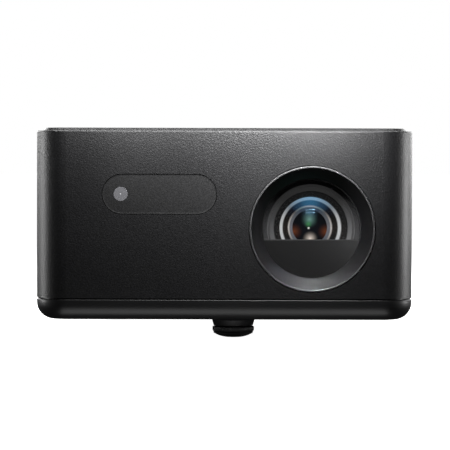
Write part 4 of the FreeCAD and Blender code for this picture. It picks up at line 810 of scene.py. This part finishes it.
@dataclass
class Optics(Assembly):
    """Projection lens and its focus drive, and the optical engine."""

    finishes: dict[Finish, tuple[str, ...]] = field(default_factory=lambda: {
        Finish.BARREL: ("lens_barrel", "focus_cell"),
        Finish.STEEL: ("ring_clip", "pinion_shaft", "guide_pins", "wheel_motor"),
        Finish.GREY_PLASTIC: ("focus_ring",),
        Finish.WHITE_PLASTIC: ("focus_pinion",),
        Finish.LENS_BLUE: ("front_glass",),
        Finish.LENS_GREEN: ("rear_glass",),
        Finish.CAST: ("focus_motor", "engine_housing", "engine_cover", "laser_block"),
        Finish.CLEAR_GLASS: ("prism_pair", "light_tunnel", "diffuser_wheel"),
        Finish.CERAMIC: ("dmd_chip",),
        Finish.BOARD: ("dmd_board",),
        Finish.FINS: ("dmd_heat_sink",)})


@dataclass
class Innards(Assembly):
    """Feet, cooling, boards, speakers and sockets."""

    finishes: dict[Finish, tuple[str, ...]] = field(default_factory=lambda: {
        Finish.BRASS: ("foot_insert", "tripod_insert"),
        Finish.BASE: ("foot_knob",),
        Finish.RUBBER: ("foot_pad", "rear_feet"),
        Finish.STEEL: ("foot_stud", "hdmi_port", "usb_port", "inner_screws"),
        Finish.GREY_PLASTIC: ("left_fan_frame", "right_fan_frame"),
        Finish.BLACK_PLASTIC: ("left_fan_rotor", "right_fan_rotor", "board_chips", "power_parts",
                               "left_speaker", "right_speaker", "audio_jack", "mains_inlet"),
        Finish.FOAM: ("dust_filter",),
        Finish.FINS: ("heat_sink",),
        Finish.COPPER: ("heat_pipes",),
        Finish.BOARD: ("main_board", "power_board", "key_board", "sensor_board"),
        Finish.WHITE_PLASTIC: ("sensor_ribbon",)})


# ---------------------------------------------------------------- pieces made here
@dataclass
class LensOpening:
    """Ring and cone in the front wall, with its rounded lip. Sizes in millimetres."""

    rim: float = 36.55
    mouth: float = 35.55
    lip_depth: float = 0.1
    lip_round: float = 0.38
    lip_spans: int = 13
    flange: float = 38.0
    flange_front: float = 2.4
    flange_back: float = 4.0
    throat: float = 28.9
    cone_depth: float = 15.0
    seat_depth: float = 16.8
    seat: float = 29.8
    tube: float = 31.3
    depth: float = 22.0
    wall: float = 1.1

    def build(self) -> None:
        """Turns the bezel."""
        centre = middle("front_glass")
        slope = (self.throat - self.mouth) / self.cone_depth
        behind = self.mouth + slope * self.flange_back + self.wall
        stop = self.throat - 0.5
        profile = rounded([
            (self.mouth, self.lip_depth, self.lip_round), (self.rim, self.lip_depth, self.lip_round),
            (self.rim, self.flange_front), (self.flange, self.flange_front),
            (self.flange, self.flange_back, 0.3), (behind, self.flange_back, 0.4),
            (self.tube + 1.2, self.cone_depth - 3, 2.0), (self.tube, self.depth), (stop, self.depth),
            (stop, self.seat_depth), (self.seat, self.seat_depth), (self.seat, self.cone_depth),
            (self.throat, self.cone_depth, 0.2)])
        parts = [1] * self.lip_spans + [0] * (len(profile) - self.lip_spans)
        place = into_front(centre.x, centre.z)
        Form("bezel_ring").lathe(profile, place, 220, loop=True, materials=parts).finish(
            "casing", "bezel_plastic", [Finish.BEZEL, Finish.LIP], ["lens_bezel"])


@dataclass
class LensFront:
    """Stepped face of the barrel, the sliding cell and its glass. Sizes in millimetres."""

    barrel: float = 26.5
    bore: float = 21.65
    barrel_front: float = 23.98
    barrel_back: float = 27.38
    groove: float = 25.3
    groove_depth: float = 2.1
    inner_rim: float = 24.7
    cell: float = 21.5
    cell_front: float = 27.4
    cell_back: float = 57.4
    baffles: int = 5
    baffle_outer: float = 20.9
    front_radius: float = 18.4
    front_crown: float = 25.8
    front_curve: float = 32.0
    inner_crown: float = 28.0
    inner_curve: float = 27.0
    rear_radius: float = 10.35
    rear_crown: float = 40.5
    rear_curve: float = 16.0
    rear_back: float = 46.5

    def build(self) -> None:
        """Builds the four turned pieces."""
        self._barrel_face()
        self._cell()
        self._front_glass()
        self._rear_glass()

    def _place(self) -> Matrix:
        """The lens's axis, with depth counted from the front face."""
        centre = middle("front_glass")
        return into_front(centre.x, centre.z)

    def _depth_at(self, crown: float, curve: float, radius: float) -> float:
        """Depth of a domed face at a radius."""
        return crown + curve - math.sqrt(curve ** 2 - radius ** 2)

    def _barrel_face(self) -> None:
        """Builds the outer rim, groove and conical face round the cell."""
        front, back = self.barrel_front, self.barrel_back
        floor = front + self.groove_depth
        profile = rounded([
            (self.barrel, back), (self.barrel, front, 0.5), (self.groove, front, 0.12),
            (self.groove, floor), (self.inner_rim, floor), (self.inner_rim - 0.05, front + 1.15, 0.15),
            (self.bore + 0.3, front + 2.55, 0.15), (self.bore, front + 3.0), (self.bore, back)])
        face = Form("barrel_face").lathe(profile, self._place(), 200, loop=True).finish(
            "casing", "barrel_black", [Finish.BARREL_FACE])
        face.visible_glossy = False

    def _cell(self) -> None:
        """Builds the sleeve, with baffle threads in front of the glass and stepped rings behind it."""
        seat = self._depth_at(self.inner_crown, self.inner_curve, self.front_radius)
        rim = self._depth_at(self.front_crown, self.front_curve, self.front_radius)
        edge, hole = self.front_radius + 0.05, self.rear_radius + 0.05
        threads = []
        for i in range(self.baffles):
            radius = self.baffle_outer - i * 0.42
            depth = self.cell_front + 0.15 + i * 0.5
            threads += [(radius, depth), (radius - 0.1, depth + 0.42)]
        profile = rounded([
            (self.cell, self.cell_front, 0.3), (self.cell, self.cell_back),
            (self.rear_radius + 1.5, self.cell_back), (self.rear_radius - 1.2, self.rear_back),
            (hole, self.rear_back), (hole, seat + 8.5), (13.2, seat + 6.0), (13.6, seat + 4.2, 0.1),
            (16.0, seat + 2.0, 0.1), (self.front_radius - 0.2, seat), (edge, seat), (edge, rim - 0.4),
            (edge + 0.4, rim - 0.9)] + threads[::-1])
        cell = Form("glass_cell").lathe(profile, self._place(), 200, loop=True).finish(
            "focus_cell", "barrel_black", [Finish.LENS_ZONES], ["focus_cell"])
        cell.visible_glossy = cell.visible_diffuse = False

    def _front_glass(self) -> None:
        """Builds the front meniscus with a ground edge."""
        rim = self._depth_at(self.front_crown, self.front_curve, self.front_radius)
        seat = self._depth_at(self.inner_crown, self.inner_curve, self.front_radius)
        outer = arc((self.front_radius - 0.15, rim - 0.1), (0.0, self.front_crown), self.front_curve, 24)
        inner = arc((0.0, self.inner_crown), (self.front_radius - 0.15, seat), self.inner_curve, 24)
        closing = inner + [(self.front_radius, seat), (self.front_radius, rim), outer[0]]
        Form("front_element").lathe(outer, self._place(), 160).lathe(closing, self._place(), 160).finish(
            "focus_cell", "optical_glass", [Finish.LENS_BLUE], ["front_glass"])

    def _rear_glass(self) -> None:
        """Builds the domed inner element."""
        rim = self._depth_at(self.rear_crown, self.rear_curve, self.rear_radius)
        dome = arc((0.0, self.rear_crown), (self.rear_radius, rim), self.rear_curve, 24)
        closing = dome + [(self.rear_radius, self.rear_back), (0.0, self.rear_back)]
        Form("inner_element").lathe(closing, self._place(), 160).finish(
            "focus_cell", "optical_glass", [Finish.PUPIL], ["rear_glass"])


@dataclass
class WindowPlate:
    """Smoked pill in the front face, with a faint dish inside its border. Sizes in millimetres."""

    half_width: float = 33.05
    half_height: float = 11.35
    flange: float = 2.40
    flange_back: float = 3.60
    wall: float = 2.40
    front: float = 0.05
    border: float = 0.6
    dish: float = 0.1

    def build(self) -> None:
        """Builds plate and flange as one loft."""
        centre = middle("sensor_window")
        steps = [(self.flange, self.flange_back), (self.flange, self.wall), (0.0, self.wall),
                 (0.0, self.front), (-self.border, self.front + self.dish)]
        outlines = [self._outline(*step) for step in steps]
        Form("window_plate").stack(outlines, into_front(centre.x, centre.z)).finish(
            "casing", "window_plastic", [Finish.WINDOW], ["sensor_window"], sharp=4.0)

    def _outline(self, grow: float, depth: float) -> list[Vector]:
        """Draws the pill.

        Args:
            grow: How far it is larger than the window all round.
            depth: Its depth behind the front face.

        Returns:
            The outline's points.
        """
        radius = self.half_height + grow
        middle_to_arc = self.half_width - self.half_height
        points = []
        for side in (1, -1):
            for i in range(33):
                angle = math.pi * (i / 32 - 0.5)
                across, up = middle_to_arc + radius * math.cos(angle), radius * math.sin(angle)
                points.append(Vector((side * across, side * up, depth)))
        return points


@dataclass
class CameraCover:
    """Round frosted cover in the sensor window, with a pin-hole eye. Sizes in millimetres."""

    radius: float = 4.12
    front: float = 0.05
    back: float = 1.4
    dish: float = 0.05
    eye: float = 0.5

    def build(self) -> None:
        """Turns the cover and its eye."""
        centre = middle("camera_cover")
        place = into_front(centre.x, centre.z)
        profile = [(0.0, self.front + self.dish), (self.radius * 0.55, self.front + self.dish * 0.8),
                   (self.radius * 0.86, self.front + 0.03), (self.radius - 0.12, self.front),
                   (self.radius, self.front + 0.12), (self.radius, self.back), (0.0, self.back)]
        Form("frosted_disc").lathe(profile, place, 96).finish(
            "casing", "frosted_cover", [Finish.FROSTED], ["camera_cover"])
        dot = [(0.0, self.front + 0.02), (self.eye * 0.6, self.front + 0.05),
               (self.eye, self.front + 0.14), (self.eye, self.front + 0.3), (0.0, self.front + 0.3)]
        Form("camera_eye").lathe(dot, place, 32).finish("casing", "optical_glass", [Finish.PALE_DOT])


@dataclass
class ScrewFoot:
    """Knurled knob and domed rubber pad of the front foot. Sizes in millimetres."""

    ribs: int = 60
    rib_depth: float = 0.2
    rib_steps: int = 6
    edge: float = 0.5
    lower_edge: float = 1.0
    grow: float = 0.25
    pad_steps: int = 28
    ring_share: float = 0.62
    ring_depth: float = 0.12

    def build(self) -> None:
        """Builds knob and pad."""
        self._knob()
        self._pad()

    def _outline(self, radius: float, height: float, ribbed: float) -> list[Vector]:
        """Draws the knob's ribbed outline.

        Args:
            radius: Radius over the ribs.
            height: Its height in the knob.
            ribbed: Share of the ribs' full depth.

        Returns:
            The outline's points.
        """
        count = self.ribs * self.rib_steps
        points = []
        for i in range(count):
            angle = 2 * math.pi * i / count
            dip = self.rib_depth * ribbed * (0.5 - 0.5 * math.cos(angle * self.ribs))
            reach = radius - dip
            points.append(Vector((reach * math.cos(angle), reach * math.sin(angle), height)))
        return points

    def _knob(self) -> None:
        """Knob with rounded edges above and below the ribs."""
        low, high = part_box("foot_knob")
        radius = (high[0] - low[0]) / 2 / MM + self.grow
        height = (high[2] - low[2]) / MM
        place = Matrix.Translation(((low[0] + high[0]) / 2, (low[1] + high[1]) / 2, low[2]))
        steps = [(radius - self.lower_edge, 0.0, 0.0),
                 (radius - self.lower_edge * 0.35, self.lower_edge * 0.3, 0.3),
                 (radius, self.lower_edge, 1.0), (radius, height - self.edge, 1.0),
                 (radius - 0.3, height - self.edge * 0.4, 0.3), (radius - self.edge - 0.3, height, 0.0)]
        outlines = [self._outline(*step) for step in steps]
        Form("knurled_knob").stack(outlines, place).finish(
            "foot_knob", "base_plastic", [Finish.KNOB], ["foot_knob"])

    def _pad(self) -> None:
        """Pad with a soft shoulder and a fine ring on its dome."""
        low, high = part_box("foot_pad")
        radius = (high[0] - low[0]) / 2 / MM
        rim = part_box("foot_knob")[0][2] / MM - 0.08
        crown = rim - 0.5
        dome = []
        for i in range(self.pad_steps + 1):
            at = radius * i / self.pad_steps
            groove = self.ring_depth * math.exp(-((at - radius * self.ring_share) / 0.35) ** 2)
            dome.append((at, crown * (at / radius) ** 3 + groove))
        place = Matrix.Translation(((low[0] + high[0]) / 2, (low[1] + high[1]) / 2, low[2]))
        top = high[2] / MM
        closing = [(radius, rim - 0.15), (radius - 0.2, rim), (4.0, rim), (4.0, top), (0.0, top)]
        Form("domed_pad").lathe(dome + closing, place, 120).finish(
            "foot_pad", "foot_rubber", [Finish.RUBBER], ["foot_pad"])


@dataclass
class PowerKey:
    """Round key with a dished top and a fine ring. Sizes in millimetres."""

    radius: float = 7.0
    dish: float = 0.45
    dish_radius: float = 5.2
    dish_steps: int = 10
    flange: float = 8.2
    flange_height: float = 1.0

    def build(self) -> None:
        """Turns the key."""
        low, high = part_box("power_key")
        centre = middle("power_key")
        place = Matrix.Translation((centre.x, centre.y, 0.0))
        top, base = high[2] / MM, low[2] / MM
        profile = [(0.0, top - self.dish)]
        for i in range(1, self.dish_steps + 1):
            share = i / self.dish_steps
            profile.append((self.dish_radius * share, top - self.dish * (1 - share ** 2) - 0.05))
        profile += [(5.35, top - 0.22), (5.65, top - 0.22), (5.8, top - 0.03), (6.3, top),
                    (6.7, top - 0.1), (self.radius - 0.05, top - 0.32), (self.radius, top - 0.6),
                    (self.radius, base + self.flange_height), (self.flange, base + self.flange_height),
                    (self.flange, base), (0.0, base)]
        Form("dished_key").lathe(profile, place, 120).finish(
            "power_key", "casing_plastic", [Finish.CASING], ["power_key"])


@dataclass
class FanRotor:
    """Hub with twisted, cambered blades that stands for a packed rotor. Sizes in millimetres."""

    node: str
    body: str
    side: int
    blades: int = 9
    hub: float = 13.0
    sections: int = 9
    chord: float = 15.0
    root_pitch: float = 52.0
    tip_pitch: float = 30.0
    thickness: float = 1.1
    wall: float = 1.2
    skin_points: int = 16

    def build(self) -> None:
        """Builds hub and blades as one piece."""
        low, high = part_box(self.node)
        centre = middle(self.node)
        span = (high[0] - low[0]) / MM
        tip = (high[2] - low[2]) / 2 / MM
        place = Matrix.Translation(centre) @ Matrix.Rotation(self.side * math.pi / 2, 4, "Y")
        half = span / 2
        form = Form(self.node.replace("_rotor", "_blades"))
        bore = self.hub - self.wall
        form.lathe(rounded([(0.0, half - 0.4), (self.hub, half, 1.4), (self.hub, -half), (bore, -half),
                            (bore, half - 1.6), (0.0, half - 1.6)]), place, 72)
        for i in range(self.blades):
            turn = Matrix.Rotation(2 * math.pi * i / self.blades, 4, "Z")
            form.stack(self._blade(tip, half), place @ turn)
        form.finish(self.body, "grey_plastic", [Finish.FAN], [self.node], sharp=40.0)

    def _blade(self, tip: float, half: float) -> list[list[Vector]]:
        """Draws one blade.

        Args:
            tip: Radius of its tip.
            half: Half of the rotor's length along its axis.

        Returns:
            Its sections from the hub outwards.
        """
        sections = []
        for i in range(self.sections):
            share = i / (self.sections - 1)
            radius = self.hub - 0.6 + (tip - self.hub + 0.55) * share
            pitch = math.radians(self.root_pitch + (self.tip_pitch - self.root_pitch) * share)
            longest = 2 * (half - 0.5) / math.sin(pitch) * 0.94
            chord = min(self.chord * (1 + 0.25 * share), longest)
            sweep = 0.22 * share * share
            skin = [self._skin_point(k, chord, pitch, radius, sweep) for k in range(self.skin_points)]
            sections.append(skin)
        return sections

    def _skin_point(self, k: int, chord: float, pitch: float, radius: float, sweep: float) -> Vector:
        """One point round a blade's section.

        Args:
            k: Number of the point.
            chord: Length of the section.
            pitch: Its angle to the plane of rotation.
            radius: Distance from the axis.
            sweep: Angle by which the section leads.

        Returns:
            The point, with the fan's axis along Z.
        """
        turn = 2 * math.pi * k / self.skin_points
        along = math.cos(turn) * chord / 2
        camber = 0.06 * chord * (1 - (2 * along / chord) ** 2)
        across = camber + math.sin(turn) * self.thickness / 2
        flat = along * math.cos(pitch) - across * math.sin(pitch)
        rise = along * math.sin(pitch) + across * math.cos(pitch)
        angle = flat / radius + sweep
        return Vector((radius * math.cos(angle), radius * math.sin(angle), rise))


# ---------------------------------------------------------------- studio
@dataclass(frozen=True)
class Softbox:
    """A rectangular studio light."""

    name: str
    place: tuple[float, float, float]
    target: tuple[float, float, float]
    size: tuple[float, float]
    power: float
    spread: float = 180.0
    only: tuple[str, ...] = ()

    def build(self) -> None:
        """Adds the light to the scene; one that names pieces lights nothing else."""
        data = bpy.data.lights.new(self.name, "AREA")
        data.shape = "RECTANGLE"
        data.size, data.size_y = self.size
        data.energy = self.power
        data.spread = math.radians(self.spread)
        light = bpy.data.objects.new(self.name, data)
        bpy.context.collection.objects.link(light)
        light.location = self.place
        aim = Vector(self.target) - Vector(self.place)
        light.rotation_euler = aim.to_track_quat("-Z", "Y").to_euler()
        light.visible_camera = False
        if self.only:
            lit = bpy.data.collections.new(f"{self.name}_lit")
            for name in self.only:
                lit.objects.link(bpy.data.objects[name])
            light.light_linking.receiver_collection = lit


@dataclass
class Studio:
    """Pale floor and surround, soft lights and the camera."""

    eye_distance: float = 1.42
    eye_rise: float = 1.35
    focus_height: float = 0.0666
    focus_right: float = 0.00036
    sensor: float = 36.0
    lens: float = 196.0
    roll: float = 0.17
    surround: float = 1.0
    fill: float = 0.02
    brow_powers: tuple[float, ...] = (0.02, 0.056, 0.048, 0.086, 0.14, 0.14)
    brow_start: float = -0.085
    brow_step: float = 0.03
    brow_reach: float = 0.046
    brow_height: float = 0.15
    brow_aim: float = 0.115
    flag_past_side: float = 0.03
    flag_past_front: float = 0.002
    flag_above_lid: float = 0.003
    flag_top: float = 0.18
    floor_half: float = 30.0
    floor_drop: float = 0.0003
    lights: tuple[Softbox, ...] = (
        Softbox("left_strip", (-0.5, -0.03, 0.075), (-0.1, -0.095, 0.075), (0.08, 0.2), 0.76),
        Softbox("right_strip", (0.5, -0.03, 0.075), (0.1, -0.095, 0.075), (0.08, 0.2), 0.9),
        Softbox("table_strip", (0.0, -0.1125, 0.0006), (0.0, -0.1125, 0.2), (0.2, 0.018), 0.0145),
        Softbox("lens_beam", (0.048, -0.165, 0.36), (0.05, -0.0965, 0.034), (0.02, 0.03), 0.055, 8.0,
                ("bezel_ring",)),
        Softbox("mask_lamp", (0.098, -0.12, 0.06), (0.074, -0.09, 0.05), (0.02, 0.02), 0.034, 180.0,
                ("lens_mask",)),
        Softbox("overhead", (0.0, 0.25, 0.75), (0.0, 0.05, 0.1), (0.7, 0.4), 9.0),
        Softbox("rear_left", (-0.5, 0.8, 0.35), (0.0, 0.1, 0.06), (0.6, 0.4), 5.0),
        Softbox("rear_right", (0.6, 0.75, 0.3), (0.0, 0.1, 0.06), (0.4, 0.4), 4.0),
        Softbox("side_left", (-0.8, 0.3, 0.3), (-0.1, 0.03, 0.06), (0.4, 0.4), 3.0),
        Softbox("side_right", (0.8, 0.3, 0.3), (0.1, 0.03, 0.06), (0.4, 0.4), 3.0))

    def build(self) -> None:
        """Sets up floor, surround, lights and camera."""
        self._floor()
        self._flag()
        self._surround()
        for light in self.lights + self._brow():
            light.build()
        self._camera()

    def _brow(self) -> tuple[Softbox, ...]:
        """Lines up small lamps just in front of the casing's top edge, brightest above the lens.

        Returns:
            The lamps.
        """
        front = front_face()
        row = []
        for i, power in enumerate(self.brow_powers):
            x = self.brow_start + self.brow_step * i
            place, target = (x, front - self.brow_reach, self.brow_height), (x, front, self.brow_aim)
            row.append(Softbox(f"brow_{i}", place, target, (self.brow_step, self.brow_step), power))
        return tuple(row)

    def _floor(self) -> None:
        """Lays a wide floor under the feet."""
        mesh = bpy.data.meshes.new("studio_floor")
        half = self.floor_half
        mesh.from_pydata([(-half, -half, 0), (half, -half, 0), (half, half, 0), (-half, half, 0)],
                         [], [(0, 1, 2, 3)])
        floor = bpy.data.objects.new("studio_floor", mesh)
        bpy.context.collection.objects.link(floor)
        mesh.materials.append(Finish.FLOOR.material())
        floor.location.z = -self.floor_drop
        floor.visible_diffuse = False
        floor.visible_glossy = False

    def _flag(self) -> None:
        """Hangs a card over the front edge that keeps the small lamps off the lid."""
        low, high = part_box("main_shell")
        reach, y, top = high[0] + self.flag_past_side, low[1] - self.flag_past_front, self.flag_top
        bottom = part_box("top_lid")[1][2] + self.flag_above_lid
        mesh = bpy.data.meshes.new("lamp_flag")
        mesh.from_pydata([(-reach, y, bottom), (reach, y, bottom), (reach, y, top), (-reach, y, top)],
                         [], [(0, 1, 2, 3)])
        card = bpy.data.objects.new("lamp_flag", mesh)
        bpy.context.collection.objects.link(card)
        mesh.materials.append(Finish.BLACK_PLASTIC.material())
        card.visible_camera = card.visible_diffuse = False

    def _surround(self) -> None:
        """White to the eye, and nearly dark to the object."""
        world = bpy.data.worlds.new("surround")
        bpy.context.scene.world = world
        world.use_nodes = True
        tree = world.node_tree
        tree.nodes.clear()
        path = tree.nodes.new("ShaderNodeLightPath")
        mix = tree.nodes.new("ShaderNodeMixShader")
        output = tree.nodes.new("ShaderNodeOutputWorld")
        tree.links.new(path.outputs["Is Camera Ray"], mix.inputs[0])
        for slot, strength in ((1, self.fill), (2, self.surround)):
            glow = tree.nodes.new("ShaderNodeBackground")
            glow.inputs["Color"].default_value = (1.0, 1.0, 1.0, 1.0)
            glow.inputs["Strength"].default_value = strength
            tree.links.new(glow.outputs[0], mix.inputs[slot])
        tree.links.new(mix.outputs[0], output.inputs["Surface"])
        bpy.context.scene.view_settings.view_transform = "Standard"

    def _camera(self) -> None:
        """Looks at the front face from a little above its middle."""
        data = bpy.data.cameras.new("eye")
        data.sensor_width = self.sensor
        data.lens = self.lens
        data.clip_start = 0.05
        camera = bpy.data.objects.new("eye", data)
        bpy.context.collection.objects.link(camera)
        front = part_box("main_shell")[0][1]
        target = Vector((self.focus_right, front, self.focus_height))
        rise = math.radians(self.eye_rise)
        eye = target + Vector((0.0, -math.cos(rise), math.sin(rise))) * self.eye_distance
        aim = (target - eye).to_track_quat("-Z", "Y").to_matrix().to_4x4()
        camera.matrix_world = Matrix.Translation(eye) @ aim @ Matrix.Rotation(math.radians(self.roll), 4, "Z")
        bpy.context.scene.camera = camera


def main() -> None:
    """Builds and dresses everything in order."""
    logging.basicConfig(level=logging.INFO, format="%(message)s")
    for assembly in (Casing(), Optics(), Innards()):
        assembly.dress()
        log.info("%s dressed", type(assembly).__name__)
    for assembly in (LensOpening(), LensFront(), WindowPlate(), CameraCover(), ScrewFoot(), PowerKey(),
                     FanRotor("left_fan_rotor", "left_fan", -1), FanRotor("right_fan_rotor", "right_fan", 1)):
        assembly.build()
        log.info("%s built", type(assembly).__name__)
    Studio().build()


if __name__ == "__main__":
    main()
